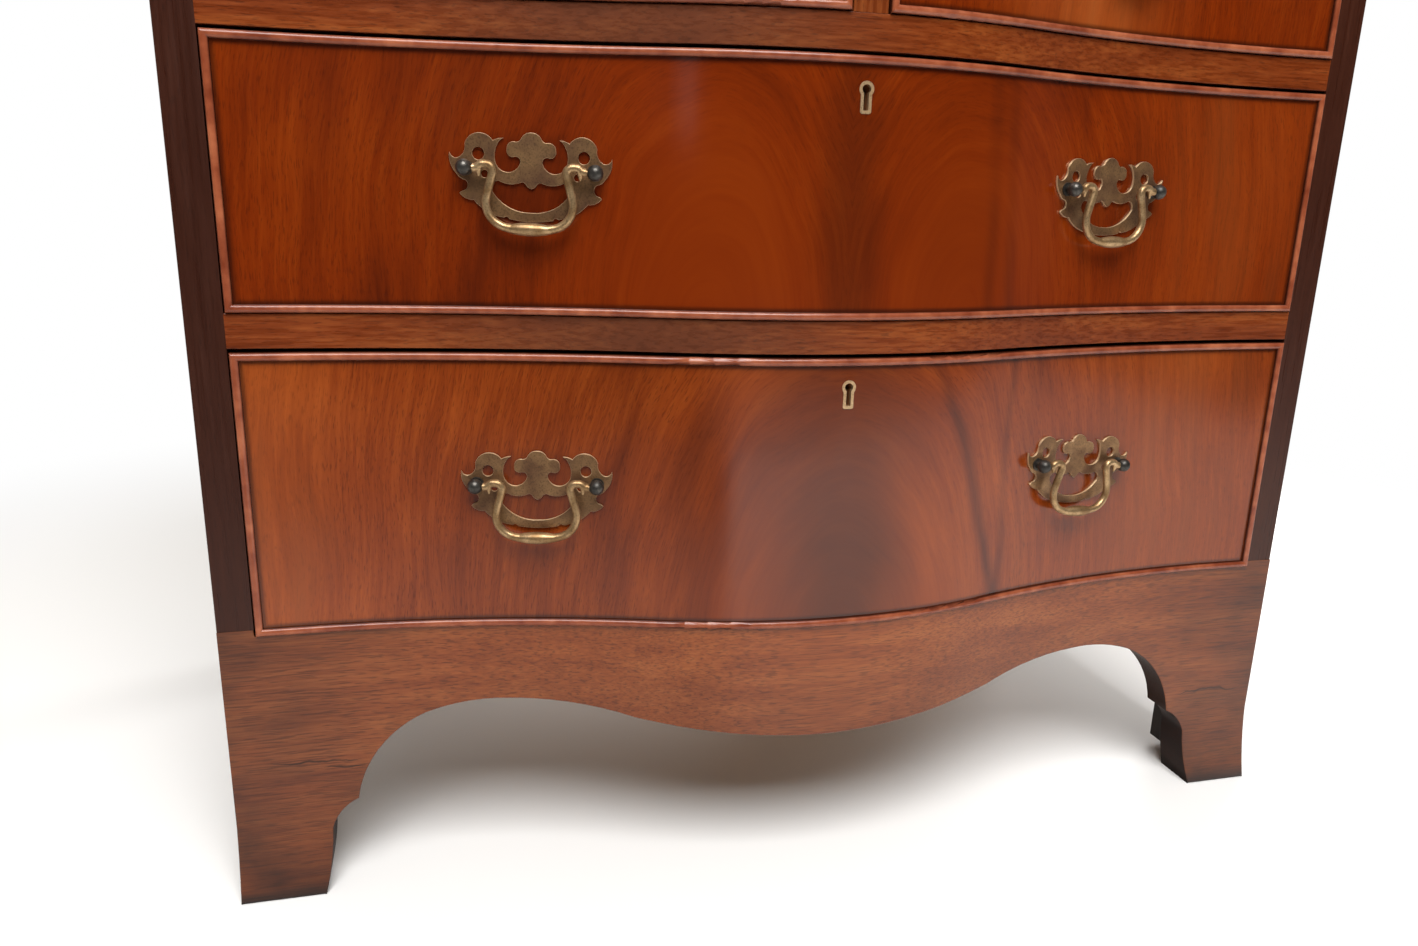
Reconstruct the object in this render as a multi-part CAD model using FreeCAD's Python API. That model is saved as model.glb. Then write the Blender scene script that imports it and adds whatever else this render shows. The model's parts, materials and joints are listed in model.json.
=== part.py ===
"""Serpentine-front chest of drawers: two short drawers over two long ones, on bracket feet.

Units are millimetres.  +Z is up, the front faces -Y, and +X is to the right as seen from the front.
The origin is on the floor, under the middle of the chest's own box.  Each physical piece is a solid
of its own, and pieces that are glued on the real chest touch face to face.
"""

import FreeCAD
import Part
import math
import os
from collections import namedtuple

Vector = FreeCAD.Vector

# Serpentine curve of the front, seen from above
BOW = 51.0
STRAIGHT_END = 50.0
CROWN_RADIUS = 400.0

# Case
CASE_WIDTH = 790.0
CASE_DEPTH = 415.0
SIDE_THICKNESS = 22.0
BOTTOM_THICKNESS = 18.0
BOTTOM_TONGUE = 8.0
BACK_THICKNESS = 10.0
BACK_RABBET = 11.0
BACK_BOARD_COUNT = 4
BACK_BOARD_GAP = 0.6

# Top board: a quarter round under a small step
TOP_THICKNESS = 22.0
TOP_SIDE_OVERHANG = 13.0
TOP_FRONT_OVERHANG = 14.0
TOP_ROUND_RADIUS = 12.0
TOP_STEP = 3.0

# Rails, runners and divider
RAIL_HEIGHT = 21.0
RAIL_DEPTH = 45.0
TENON_LENGTH = 11.0
TENON_SETBACK = 10.0
TENON_SHOULDER = 4.0
DIVIDER_WIDTH = 22.0
DIVIDER_DEPTH = 40.0
DIVIDER_TENON = 8.0
RUNNER_WIDTH = 32.0
CENTRE_RUNNER_WIDTH = 80.0
GUIDE_HEIGHT = 16.0
STOP_WIDTH = 44.0
STOP_DEPTH = 16.0
STOP_HEIGHT = 6.0
STOP_GAP = 0.3
STOP_HALF_SPACING = 250.0

# Base
BASE_HEIGHT = 187.8
APRON_THICKNESS = 24.0
APRON_EAR_RISE = 4.5
FOOT_WIDTH = 54.0
FOOT_SPLAY = 10.5
FOOT_SPLAY_HEIGHT = 80.0
ANKLE_INSET = 6.5
ANKLE_HEIGHT = 46.0
CUSP_REACH = 78.0
CUSP_HEIGHT = 65.0
SHOULDER_REACH = 125.0
SHOULDER_DROP = 8.7
ARCH_REACH = 180.0
ARCH_DEPTH = 53.3
DROP_START = 132.0
DROP_START_FALL = 13.8
DROP_DEPTH = 81.5
SIDE_ARCH_REACH = 165.0

# Bulges of the arcs along the base's lower edge: rise over chord, positive to the left from foot to middle
FOOT_BULGE = 0.03
ANKLE_BULGE = -0.11
CUSP_BULGE = -0.13
SHOULDER_BULGE = -0.05
ARCH_BULGE = -0.04
DROP_BULGE = 0.025

# Rear brackets and glue blocks
REAR_BRACKET_WIDTH = 84.0
REAR_BRACKET_BULGE = 0.14
REAR_BRACKET_THICKNESS = 18.0
FOOT_BLOCK_WIDTH = 16.0
FOOT_BLOCK_DEPTH = 38.0
FOOT_BLOCK_LIFT = 6.0

# Drawers
LOWER_LONG_HEIGHT = 181.0
UPPER_LONG_HEIGHT = 155.0
SHORT_HEIGHT = 130.0
DRAWER_LIFT = 0.4
DRAWER_HEADROOM = 2.1
DRAWER_SIDE_GAP = 1.0
DRAWER_REAR_GAP = 20.0
FRONT_THICKNESS = 22.0
BEAD_WIDTH = 5.0
BEAD_DEPTH = 10.0
BEAD_PROUD = 3.0
BEAD_NOSE_FLAT = 0.4
BOX_INSET = 0.5
BOX_SIDE = 10.0
BOX_BACK = 10.0
BOX_SIDE_DROP = 8.0
BOX_BACK_DROP = 10.0
PANEL_THICKNESS = 6.0
PANEL_RISE = 10.0
PANEL_GROOVE = 5.0
TAIL_LAP = 1.0
TAIL_PITCH = 34.0
TAIL_WIDTH = 17.0
TAIL_SLOPE = 1.0 / 6.0
TAIL_ROOT = 3.0

# Lock and escutcheon
KEY_DROP = 18.8
KEY_HEAD_RADIUS = 2.7
KEY_SLOT_HALF_WIDTH = 1.6
KEY_SLOT_LENGTH = 12.0
KEY_CORNER_RADIUS = 0.5
ESCUTCHEON_RIM = 1.9
ESCUTCHEON_INSET = 2.5
ESCUTCHEON_PROUD = 0.4
LOCK_WIDTH = 58.0
LOCK_HEIGHT = 42.0
LOCK_BODY_WIDTH = 48.0
LOCK_PLATE = 2.0
LOCK_DEPTH = 10.5
BOLT_WIDTH = 26.0
BOLT_THICKNESS = 5.0
BOLT_HEIGHT = 24.0
BOLT_TRAVEL = 8.0
BOLT_CLEARANCE = 0.4
BOLT_TALON_RADIUS = 6.0
MORTISE_MARGIN = 1.0

# Handles
HANDLE_SPACING = 388.0
POST_CENTRES = 76.2
PLATE_THICKNESS = 1.6
PLATE_SEAT_GAP = 0.3
POST_STANDOFF = 10.0
POST_BALL_RADIUS = 4.8
POST_NECK_RADIUS = 3.0
POST_COLLAR_RADIUS = 4.4
POST_COLLAR_HEIGHT = 2.2
POST_SHANK_RADIUS = 2.4
POST_HOLE_CLEARANCE = 0.2
POST_END = 7.0
NUT_RADIUS = 5.2
NUT_THICKNESS = 4.0
BAIL_RADIUS = 2.5
BAIL_HUMP_RADIUS = 3.2
BAIL_SHOULDER_RADIUS = 3.8
BAIL_CORNER_RADIUS = 14.2
BAIL_MIDDLE_RADIUS = 85.0
BAIL_GRIP_RADIUS = 3.9
BAIL_GRIP_END_RADIUS = 1.7
BAIL_PIN_RADIUS = 1.5
BAIL_PIN_CLEARANCE = 0.05
BAIL_PIN_LENGTH = 5.0
BAIL_SHOULDER_GAP = 0.3
BAIL_HUMP_RUN = 2.0
BAIL_HUMP_REACH = 3.0
BAIL_SPUR_REACH = 3.6
BAIL_SPUR_RADIUS = 2.2
BAIL_SPUR_TIP_RADIUS = 0.5
BAIL_SPUR_LENGTH = 4.7

# Depth of each handle's posts below the top of its drawer, and its clockwise tilt in degrees, as fitted
# by hand: on the long drawers first the left one, then the right one
LOWER_HANDLE_DROPS = (83.4, 84.5)
LOWER_HANDLE_TILTS = (0.0, 4.0)
UPPER_HANDLE_DROPS = (70.1, 71.6)
UPPER_HANDLE_TILTS = (1.2, 0.0)
SHORT_HANDLE_DROP = 58.0

# Places worked out from the sizes above
FRONT_Y = (BOW + TOP_FRONT_OVERHANG - CASE_DEPTH) / 2
BACK_Y = FRONT_Y + CASE_DEPTH
BACK_INNER_Y = BACK_Y - BACK_THICKNESS
RAIL_BACK_Y = FRONT_Y + RAIL_DEPTH
CASE_HALF = CASE_WIDTH / 2
OPENING_HALF = CASE_HALF - SIDE_THICKNESS
CURVE_HALF_LENGTH = CASE_HALF - STRAIGHT_END
SIDE_FOOT_Z = BASE_HEIGHT - BOTTOM_THICKNESS
ARCH_HEIGHT = BASE_HEIGHT - ARCH_DEPTH
DROP_HEIGHT = BASE_HEIGHT - DROP_DEPTH
DRAWER_PLAY = DRAWER_LIFT + DRAWER_HEADROOM
LOWER_RAIL_Z = BASE_HEIGHT + LOWER_LONG_HEIGHT + DRAWER_PLAY
UPPER_FLOOR_Z = LOWER_RAIL_Z + RAIL_HEIGHT
UPPER_RAIL_Z = UPPER_FLOOR_Z + UPPER_LONG_HEIGHT + DRAWER_PLAY
SHORT_FLOOR_Z = UPPER_RAIL_Z + RAIL_HEIGHT
TOP_RAIL_Z = SHORT_FLOOR_Z + SHORT_HEIGHT + DRAWER_PLAY
CASE_TOP_Z = TOP_RAIL_Z + RAIL_HEIGHT
DRAWER_REAR_Y = BACK_INNER_Y - DRAWER_REAR_GAP
TAIL_LENGTH = FRONT_THICKNESS - BEAD_DEPTH - TAIL_LAP
BEAD_ROUND = (BEAD_WIDTH - BEAD_NOSE_FLAT) / 2
BOLT_Y = FRONT_THICKNESS - LOCK_DEPTH / 2
HANDLE_X = HANDLE_SPACING / 2
HALF_CENTRES = POST_CENTRES / 2
ARC_SUM = (CURVE_HALF_LENGTH ** 2 + BOW ** 2) / (2 * BOW)
HOLLOW_RADIUS = ARC_SUM - CROWN_RADIUS
CROWN_CENTRE_Y = FRONT_Y - BOW + CROWN_RADIUS
HOLLOW_CENTRE_Y = FRONT_Y - HOLLOW_RADIUS

# Right half of the handle plate, in hundredths of the distance between the posts.  Each point has the
# bulge of the arc that leaves it: its rise over its chord, positive to the left of the way round.
PLATE_OUTLINE = (
    (0.0, 27.9, 0.14), (7.4, 24.0, -0.16), (12.0, 20.7, 0.27), (18.8, 15.0, 0.26),
    (13.8, 9.4, -0.30), (8.4, 5.9, -0.36), (27.2, 3.8, -0.11), (26.0, 18.4, -0.10),
    (21.5, 23.2, 0.07), (29.5, 21.0, 0.32), (50.7, 17.7, -0.18), (55.9, 7.3, -0.22),
    (62.3, 11.0, 0.12), (57.1, -4.7, 0.11), (50.7, -9.1, -0.29), (51.2, -17.1, 0.11),
    (54.9, -19.2, 0.13), (44.1, -23.9, 0.10), (21.0, -36.3, -0.30), (17.0, -37.2, 0.03),
    (0.0, -38.9, 0.0),
)
PLATE_OPENING = (
    (0.0, -14.0, -0.08), (3.8, -11.3, 0.15), (7.5, -9.1, -0.12), (24.9, -8.7, 0.34),
    (29.5, -17.8, 0.13), (0.0, -31.9, 0.0),
)
PLATE_LOBE_HOLE = (40.6, 11.0, 4.7)
PLATE_SCROLL_HOLE = (35.8, -3.9, 2.9)

# Corners of the right half of the bail's centre line, and the height and half the length of its grip, in
# the same units
BAIL_SHOULDER = (26.3, 3.0)
BAIL_CORNER = (38.5, -40.5)
BAIL_MIDDLE = (0.0, -45.9)
BAIL_GRIP_Z = -44.3
BAIL_GRIP_HALF_LENGTH = 19.0

Handle = namedtuple("Handle", "x drop tilt")
Drawer = namedtuple("Drawer", "name left right floor height handles lock_x")


def handle_pair(drops, tilts):
    """The left and right handle of a long drawer."""
    return tuple(Handle(*values) for values in zip((-HANDLE_X, HANDLE_X), drops, tilts))


LONG_EDGE = OPENING_HALF - DRAWER_SIDE_GAP
SHORT_EDGE = DIVIDER_WIDTH / 2 + DRAWER_SIDE_GAP
DRAWERS = (
    Drawer("lower_long", -LONG_EDGE, LONG_EDGE, BASE_HEIGHT + DRAWER_LIFT, LOWER_LONG_HEIGHT,
           handle_pair(LOWER_HANDLE_DROPS, LOWER_HANDLE_TILTS), 0.0),
    Drawer("upper_long", -LONG_EDGE, LONG_EDGE, UPPER_FLOOR_Z + DRAWER_LIFT, UPPER_LONG_HEIGHT,
           handle_pair(UPPER_HANDLE_DROPS, UPPER_HANDLE_TILTS), 0.0),
    Drawer("left_short", -LONG_EDGE, -SHORT_EDGE, SHORT_FLOOR_Z + DRAWER_LIFT, SHORT_HEIGHT,
           (Handle(-HANDLE_X, SHORT_HANDLE_DROP, 0.0),), -HANDLE_X),
    Drawer("right_short", SHORT_EDGE, LONG_EDGE, SHORT_FLOOR_Z + DRAWER_LIFT, SHORT_HEIGHT,
           (Handle(HANDLE_X, SHORT_HANDLE_DROP, 0.0),), HANDLE_X),
)


# Plain helpers

THROUGH = 4 * CASE_DEPTH
TOLERANCE = 1e-4
QUARTER_BULGE = (math.sqrt(2) - 1) / 2


def box(x0, x1, y0, y1, z0, z1):
    """A box between two corners."""
    return Part.makeBox(x1 - x0, y1 - y0, z1 - z0, Vector(x0, y0, z0))


def group(solids):
    """Separate solids kept together in one node."""
    return Part.makeCompound(list(solids))


def mirrored(shape):
    """The same piece for the other side of the chest."""
    return shape.mirror(Vector(0, 0, 0), Vector(1, 0, 0))


def line(start, end):
    """A straight edge."""
    return Part.LineSegment(start, end).toShape()


def arc(start, middle, end):
    """A round edge through a middle point."""
    return Part.Arc(start, middle, end).toShape()


def prism(edges, direction):
    """The solid made by moving a closed outline along a direction."""
    return Part.Face(Part.Wire(edges)).extrude(direction)


def through_y(edges):
    """A prism of an upright outline that passes right through the chest along Y."""
    space = prism(edges, Vector(0, THROUGH, 0))
    space.translate(Vector(0, -THROUGH / 2, 0))
    return space


def upright_outline(points, place=Vector(0, 0, 0)):
    """Lines and arcs of an outline in the XZ plane, from (x, z, bulge) points, left open."""
    edges = []
    for (x0, z0, bulge), (x1, z1, _) in zip(points, points[1:]):
        start = place + Vector(x0, 0, z0)
        end = place + Vector(x1, 0, z1)
        if bulge == 0:
            edges.append(line(start, end))
        else:
            chord = end - start
            rise = Vector(-chord.z, 0, chord.x) * bulge
            edges.append(arc(start, (start + end) / 2 + rise, end))
    return edges


def both_halves(points):
    """Edges of a closed outline from its right half, which starts and ends on the middle line."""
    right = upright_outline(points)
    left = [mirrored(edge) for edge in right]
    return Part.sortEdges(right + left)[0]


# The serpentine curve

def front_y(x, proud=0.0):
    """Y of the front at x, on the curve that lies this far in front of the veneer."""
    x = abs(x)
    crown = CROWN_RADIUS + proud
    hollow = HOLLOW_RADIUS - proud
    if x >= CURVE_HALF_LENGTH:
        return FRONT_Y - proud
    if x <= crown * CURVE_HALF_LENGTH / ARC_SUM:
        return CROWN_CENTRE_Y - math.sqrt(crown ** 2 - x ** 2)
    return HOLLOW_CENTRE_Y + math.sqrt(hollow ** 2 - (CURVE_HALF_LENGTH - x) ** 2)


def front_angle(x):
    """Turn of the front about Z at x, in degrees: nought where it faces straight ahead."""
    reach = abs(x)
    if reach >= CURVE_HALF_LENGTH:
        return 0.0
    if reach <= CROWN_RADIUS * CURVE_HALF_LENGTH / ARC_SUM:
        turn = math.asin(reach / CROWN_RADIUS)
    else:
        turn = math.asin((CURVE_HALF_LENGTH - reach) / HOLLOW_RADIUS)
    return math.copysign(math.degrees(turn), x)


def front_edges(x0, x1, proud):
    """Lines and arcs of the front curve from x0 to x1, at height nought."""
    join = (CROWN_RADIUS + proud) * CURVE_HALF_LENGTH / ARC_SUM
    turns = (-CURVE_HALF_LENGTH, -join, join, CURVE_HALF_LENGTH)
    stops = [x0] + [x for x in turns if x0 < x < x1] + [x1]
    edges = []
    for a, b in zip(stops, stops[1:]):
        start, middle, end = (Vector(x, front_y(x, proud), 0) for x in (a, (a + b) / 2, b))
        straight = abs(a + b) / 2 > CURVE_HALF_LENGTH
        edges.append(line(start, end) if straight else arc(start, middle, end))
    return edges


def bowed_board(x0, x1, z0, z1, proud=0.0, thickness=None, back_y=None):
    """A board with the serpentine curve in front, and behind it a parallel curve or a straight edge."""
    front = front_edges(x0, x1, proud)
    if back_y is None:
        back = front_edges(x0, x1, proud - thickness)
    else:
        back = [line(Vector(x0, back_y, 0), Vector(x1, back_y, 0))]
    ends = [line(front[0].firstVertex().Point, back[0].firstVertex().Point),
            line(front[-1].lastVertex().Point, back[-1].lastVertex().Point)]
    board = prism(Part.sortEdges(front + back + ends)[0], Vector(0, 0, z1 - z0))
    board.translate(Vector(0, 0, z0))
    return board


def on_front(shape, x, z, tilt=0.0):
    """Carry a shape to a place on the front, with a clockwise tilt in degrees where it has one.

    In its own frame the origin is on the veneer, +X runs along it, +Y goes into the wood and +Z is up.
    """
    placed = shape.copy()
    placed.rotate(Vector(0, 0, 0), Vector(0, 1, 0), tilt)
    placed.rotate(Vector(0, 0, 0), Vector(0, 0, 1), front_angle(x))
    placed.translate(Vector(x, front_y(x), z))
    return placed


# Case

def top_board():
    """Serpentine top: a quarter round along the front and the ends, with a small step above it."""
    half = CASE_HALF + TOP_SIDE_OVERHANG
    step_z = CASE_TOP_Z + TOP_THICKNESS - TOP_STEP
    slab = bowed_board(-half, half, CASE_TOP_Z, step_z, TOP_FRONT_OVERHANG, back_y=BACK_Y)
    rim = [edge for edge in slab.Edges
           if all(abs(vertex.Z - step_z) < TOLERANCE for vertex in edge.Vertexes)
           and edge.CenterOfMass.y < BACK_Y - TOLERANCE]
    slab = slab.makeFillet(TOP_ROUND_RADIUS, rim)
    table_half = half - TOP_ROUND_RADIUS
    table = bowed_board(-table_half, table_half, CASE_TOP_Z, CASE_TOP_Z + TOP_THICKNESS,
                        TOP_FRONT_OVERHANG - TOP_ROUND_RADIUS, back_y=BACK_Y)
    return slab.fuse(table).removeSplitter()


def bracket_outline(half_length, arch_reach):
    """Half of a base's lower edge, from the floor inside its foot to the top of its arch."""
    shoulder_z = ARCH_HEIGHT - SHOULDER_DROP
    return [
        (half_length - FOOT_WIDTH, 0.0, FOOT_BULGE),
        (half_length - FOOT_WIDTH - ANKLE_INSET, ANKLE_HEIGHT, ANKLE_BULGE),
        (half_length - CUSP_REACH, CUSP_HEIGHT, CUSP_BULGE),
        (half_length - SHOULDER_REACH, shoulder_z, SHOULDER_BULGE),
        (half_length - arch_reach, ARCH_HEIGHT, 0.0),
    ]


def under_base(points):
    """The space under a base, between its feet, as a prism through the whole chest along Y."""
    start = points[0]
    floor = [(-start[0], 0.0, 0.0), (start[0], 0.0, 0.0)]
    right = upright_outline(points)
    left = [mirrored(edge) for edge in right]
    span = [line(left[-1].lastVertex().Point, right[-1].lastVertex().Point)] if points[-1][0] else []
    outline = Part.sortEdges(right + left + span + upright_outline(floor))[0]
    return through_y(outline)


def front_toe():
    """Forward sweep of the right front foot, which leaves the apron's face in a tangent arc."""
    radius = (FOOT_SPLAY ** 2 + FOOT_SPLAY_HEIGHT ** 2) / (2 * FOOT_SPLAY)
    half_turn = math.asin(FOOT_SPLAY_HEIGHT / radius) / 2
    heel = Vector(CURVE_HALF_LENGTH, FRONT_Y, 0)
    tip = heel - Vector(0, FOOT_SPLAY, 0)
    top = heel + Vector(0, 0, FOOT_SPLAY_HEIGHT)
    middle = top + Vector(0, math.cos(half_turn) - 1, -math.sin(half_turn)) * radius
    profile = Part.Face(Part.Wire([line(heel, tip), arc(tip, middle, top), line(top, heel)]))
    curve_turn = math.degrees(math.asin(CUSP_REACH / HOLLOW_RADIUS))
    curved = profile.revolve(Vector(CURVE_HALF_LENGTH, HOLLOW_CENTRE_Y, 0), Vector(0, 0, 1), curve_turn)
    return profile.extrude(Vector(STRAIGHT_END, 0, 0)).fuse(curved.toNurbs())


def front_apron():
    """Apron and swept bracket feet in one board, mitred at its ends, with ears under the stiles."""
    front = front_edges(-CASE_HALF, CASE_HALF, 0.0)
    back = front_edges(-OPENING_HALF, OPENING_HALF, -APRON_THICKNESS)
    mitres = [line(front[0].firstVertex().Point, back[0].firstVertex().Point),
              line(front[-1].lastVertex().Point, back[-1].lastVertex().Point)]
    ear_z = BASE_HEIGHT + APRON_EAR_RISE
    board = prism(Part.sortEdges(front + back + mitres)[0], Vector(0, 0, ear_z))
    board = board.cut(box(-OPENING_HALF, OPENING_HALF, -CASE_DEPTH, CASE_DEPTH, BASE_HEIGHT, ear_z))
    toe = front_toe()
    board = board.fuse([toe, mirrored(toe)]).removeSplitter()
    lower_edge = bracket_outline(CASE_HALF, ARCH_REACH)
    arch_x, arch_z, _ = lower_edge.pop()
    lower_edge += [(arch_x, arch_z, ARCH_BULGE),
                   (DROP_START, ARCH_HEIGHT - DROP_START_FALL, DROP_BULGE),
                   (0.0, DROP_HEIGHT, 0.0)]
    return board.cut(under_base(lower_edge))


def side_base(apron):
    """Right-hand base with its front and rear bracket feet, mitred to the apron."""
    board = box(OPENING_HALF, CASE_HALF, FRONT_Y, BACK_Y, 0, SIDE_FOOT_Z)
    space = under_base(bracket_outline(CASE_DEPTH / 2, SIDE_ARCH_REACH))
    space.rotate(Vector(0, 0, 0), Vector(0, 0, 1), 90)
    space.translate(Vector(0, (FRONT_Y + BACK_Y) / 2, 0))
    return board.cut(apron).cut(space)


def rear_foot_bracket():
    """Right-hand board across the back of a rear foot, its inner edge cut to a hollow curve."""
    inner_top = OPENING_HALF - REAR_BRACKET_WIDTH
    inner_foot = CASE_HALF - FOOT_WIDTH
    outline = upright_outline([
        (OPENING_HALF, 0.0, 0.0), (OPENING_HALF, SIDE_FOOT_Z, 0.0), (inner_top, SIDE_FOOT_Z, 0.0),
        (inner_top, ARCH_HEIGHT, REAR_BRACKET_BULGE), (inner_foot, 0.0, 0.0), (OPENING_HALF, 0.0, 0.0)],
        Vector(0, BACK_Y - REAR_BRACKET_THICKNESS, 0))
    return prism(outline, Vector(0, REAR_BRACKET_THICKNESS, 0))


def foot_blocks():
    """Glue blocks in the corners behind the four feet, a little clear of the floor."""
    front_y0 = FRONT_Y + APRON_THICKNESS
    rear_y1 = BACK_Y - REAR_BRACKET_THICKNESS
    right = [box(OPENING_HALF - FOOT_BLOCK_WIDTH, OPENING_HALF, y0, y0 + FOOT_BLOCK_DEPTH,
                 FOOT_BLOCK_LIFT, SIDE_FOOT_Z)
             for y0 in (front_y0, rear_y1 - FOOT_BLOCK_DEPTH)]
    return group(right + [mirrored(block) for block in right])


def drawer_rail(z0):
    """Serpentine rail with a stub tenon at each end."""
    rail = bowed_board(-OPENING_HALF, OPENING_HALF, z0, z0 + RAIL_HEIGHT, back_y=RAIL_BACK_Y)
    tenon = box(OPENING_HALF, OPENING_HALF + TENON_LENGTH, FRONT_Y + TENON_SETBACK, RAIL_BACK_Y,
                z0 + TENON_SHOULDER, z0 + RAIL_HEIGHT - TENON_SHOULDER)
    return rail.fuse([tenon, mirrored(tenon)])


def short_drawer_divider():
    """Upright between the short drawers, tenoned into the rails below and above it."""
    half = DIVIDER_WIDTH / 2
    back_y = FRONT_Y - BOW + DIVIDER_DEPTH
    post = bowed_board(-half, half, SHORT_FLOOR_Z, TOP_RAIL_Z, back_y=back_y)
    tenon = box(-half + TENON_SHOULDER, half - TENON_SHOULDER, back_y - DIVIDER_DEPTH / 2, back_y,
                SHORT_FLOOR_Z - DIVIDER_TENON, TOP_RAIL_Z + DIVIDER_TENON)
    return post.fuse(tenon)


def drawer_runners():
    """Strips behind the rails that carry the drawers, keep them from tipping, and guide the short ones."""
    strips = []
    for z0 in (LOWER_RAIL_Z, UPPER_RAIL_Z, TOP_RAIL_Z):
        right = box(OPENING_HALF - RUNNER_WIDTH, OPENING_HALF, RAIL_BACK_Y, BACK_INNER_Y,
                    z0, z0 + RAIL_HEIGHT)
        strips += [right, mirrored(right)]
    for z0 in (UPPER_RAIL_Z, TOP_RAIL_Z):
        strips.append(box(-CENTRE_RUNNER_WIDTH / 2, CENTRE_RUNNER_WIDTH / 2, RAIL_BACK_Y, BACK_INNER_Y,
                          z0, z0 + RAIL_HEIGHT))
    strips.append(box(-DIVIDER_WIDTH / 2, DIVIDER_WIDTH / 2, RAIL_BACK_Y, BACK_INNER_Y,
                      SHORT_FLOOR_Z, SHORT_FLOOR_Z + GUIDE_HEIGHT))
    return group(strips)


def drawer_stops():
    """Small blocks on the floor of each opening, just behind the drawer fronts."""
    block = box(-STOP_WIDTH / 2, STOP_WIDTH / 2, FRONT_THICKNESS + STOP_GAP,
                FRONT_THICKNESS + STOP_GAP + STOP_DEPTH, 0, STOP_HEIGHT)
    places = [(x, z) for z in (BASE_HEIGHT, UPPER_FLOOR_Z, SHORT_FLOOR_Z)
              for x in (-STOP_HALF_SPACING, STOP_HALF_SPACING)]
    return group(on_front(block, x, z) for x, z in places)


def case_bottom():
    """Bottom board behind the apron, rabbeted into the feet of the sides."""
    reach = OPENING_HALF + BOTTOM_TONGUE
    board = bowed_board(-OPENING_HALF, OPENING_HALF, SIDE_FOOT_Z, BASE_HEIGHT, -APRON_THICKNESS,
                        back_y=BACK_INNER_Y)
    tongues = box(-reach, reach, FRONT_Y + APRON_THICKNESS, BACK_INNER_Y, SIDE_FOOT_Z, BASE_HEIGHT)
    return board.fuse(tongues).removeSplitter()


def back_boards():
    """Upright boards in the rabbets of the sides, with narrow gaps between them."""
    half = OPENING_HALF + BACK_RABBET
    pitch = (2 * half + BACK_BOARD_GAP) / BACK_BOARD_COUNT
    return group(box(-half + i * pitch, -half + (i + 1) * pitch - BACK_BOARD_GAP, BACK_INNER_Y, BACK_Y,
                     SIDE_FOOT_Z, CASE_TOP_Z) for i in range(BACK_BOARD_COUNT))


def case_side(housed):
    """Right-hand case side with housings for the pieces that are let into it."""
    side = box(OPENING_HALF, CASE_HALF, FRONT_Y, BACK_Y, SIDE_FOOT_Z, CASE_TOP_Z)
    rabbet = box(OPENING_HALF, OPENING_HALF + BACK_RABBET, BACK_INNER_Y, BACK_Y, SIDE_FOOT_Z, CASE_TOP_Z)
    return side.cut(list(housed) + [rabbet])


# Drawers

def bead_front_edges(strip, axis):
    """The two long front edges of a bead strip that runs along X or Z."""
    chosen = []
    for edge in strip.Edges:
        ends = [vertex.Point for vertex in edge.Vertexes]
        on_face = all(abs(p.y - front_y(p.x, BEAD_PROUD)) < TOLERANCE for p in ends)
        along = ends[1] - ends[0]
        if on_face and abs(getattr(along, axis)) > BEAD_WIDTH + TOLERANCE:
            chosen.append(edge)
    return chosen


def cock_bead(drawer):
    """Four mitred strips with rounded noses, let into the edges of a drawer front."""
    left, right = drawer.left, drawer.right
    low, high = drawer.floor, drawer.floor + drawer.height
    full_depth = BEAD_PROUD + BEAD_DEPTH
    inner = (left + BEAD_WIDTH, right - BEAD_WIDTH, low + BEAD_WIDTH, high - BEAD_WIDTH)
    strips = []
    for z0, z1, outer_z, inner_z in ((low, inner[2], low, inner[2]), (inner[3], high, high, inner[3])):
        strip = bowed_board(left, right, z0, z1, BEAD_PROUD, full_depth)
        strip = strip.makeFillet(BEAD_ROUND, bead_front_edges(strip, "x"))
        strips.append(strip.common(mitre_wedge((left, outer_z), (right, outer_z),
                                               (inner[1], inner_z), (inner[0], inner_z))))
    for x0, x1, outer_x, inner_x in ((left, inner[0], left, inner[0]), (inner[1], right, right, inner[1])):
        strip = bowed_board(x0, x1, low, high, BEAD_PROUD, full_depth)
        strip = strip.makeFillet(BEAD_ROUND, bead_front_edges(strip, "z"))
        strips.append(strip.common(mitre_wedge((outer_x, low), (outer_x, high),
                                               (inner_x, inner[3]), (inner_x, inner[2]))))
    return group(strips)


def mitre_wedge(*corners):
    """A prism along Y through four (x, z) corners, which mitres a bead strip."""
    points = [(x, z, 0.0) for x, z in corners + corners[:1]]
    return through_y(upright_outline(points))


def front_blank(drawer):
    """Drawer front, shaped on both faces, with a rabbet round its face for the bead."""
    top = drawer.floor + drawer.height
    core = bowed_board(drawer.left, drawer.right, drawer.floor, top, -BEAD_DEPTH,
                       FRONT_THICKNESS - BEAD_DEPTH)
    face = bowed_board(drawer.left + BEAD_WIDTH, drawer.right - BEAD_WIDTH, drawer.floor + BEAD_WIDTH,
                       top - BEAD_WIDTH, 0.0, BEAD_DEPTH)
    return core.fuse(face)


def dovetails(x0, x1, joint_y, tip_y, z0, z1):
    """A row of tails across a drawer side, widening from the joint line to their tips."""
    count = max(2, round((z1 - z0) / TAIL_PITCH))
    pitch = (z1 - z0) / count
    outward = math.copysign(1.0, tip_y - joint_y)
    tip_half = TAIL_WIDTH / 2
    root_half = tip_half - abs(tip_y - joint_y) * TAIL_SLOPE
    root_y = joint_y - outward * TAIL_ROOT
    tails = []
    for i in range(count):
        z = z0 + (i + 0.5) * pitch
        corners = [(root_y, z - root_half), (joint_y, z - root_half), (tip_y, z - tip_half),
                   (tip_y, z + tip_half), (joint_y, z + root_half), (root_y, z + root_half)]
        points = [Vector(x0, y, height) for y, height in corners]
        edges = [line(a, b) for a, b in zip(points, points[1:] + points[:1])]
        tails.append(prism(edges, Vector(x1 - x0, 0, 0)))
    return tails


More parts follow.
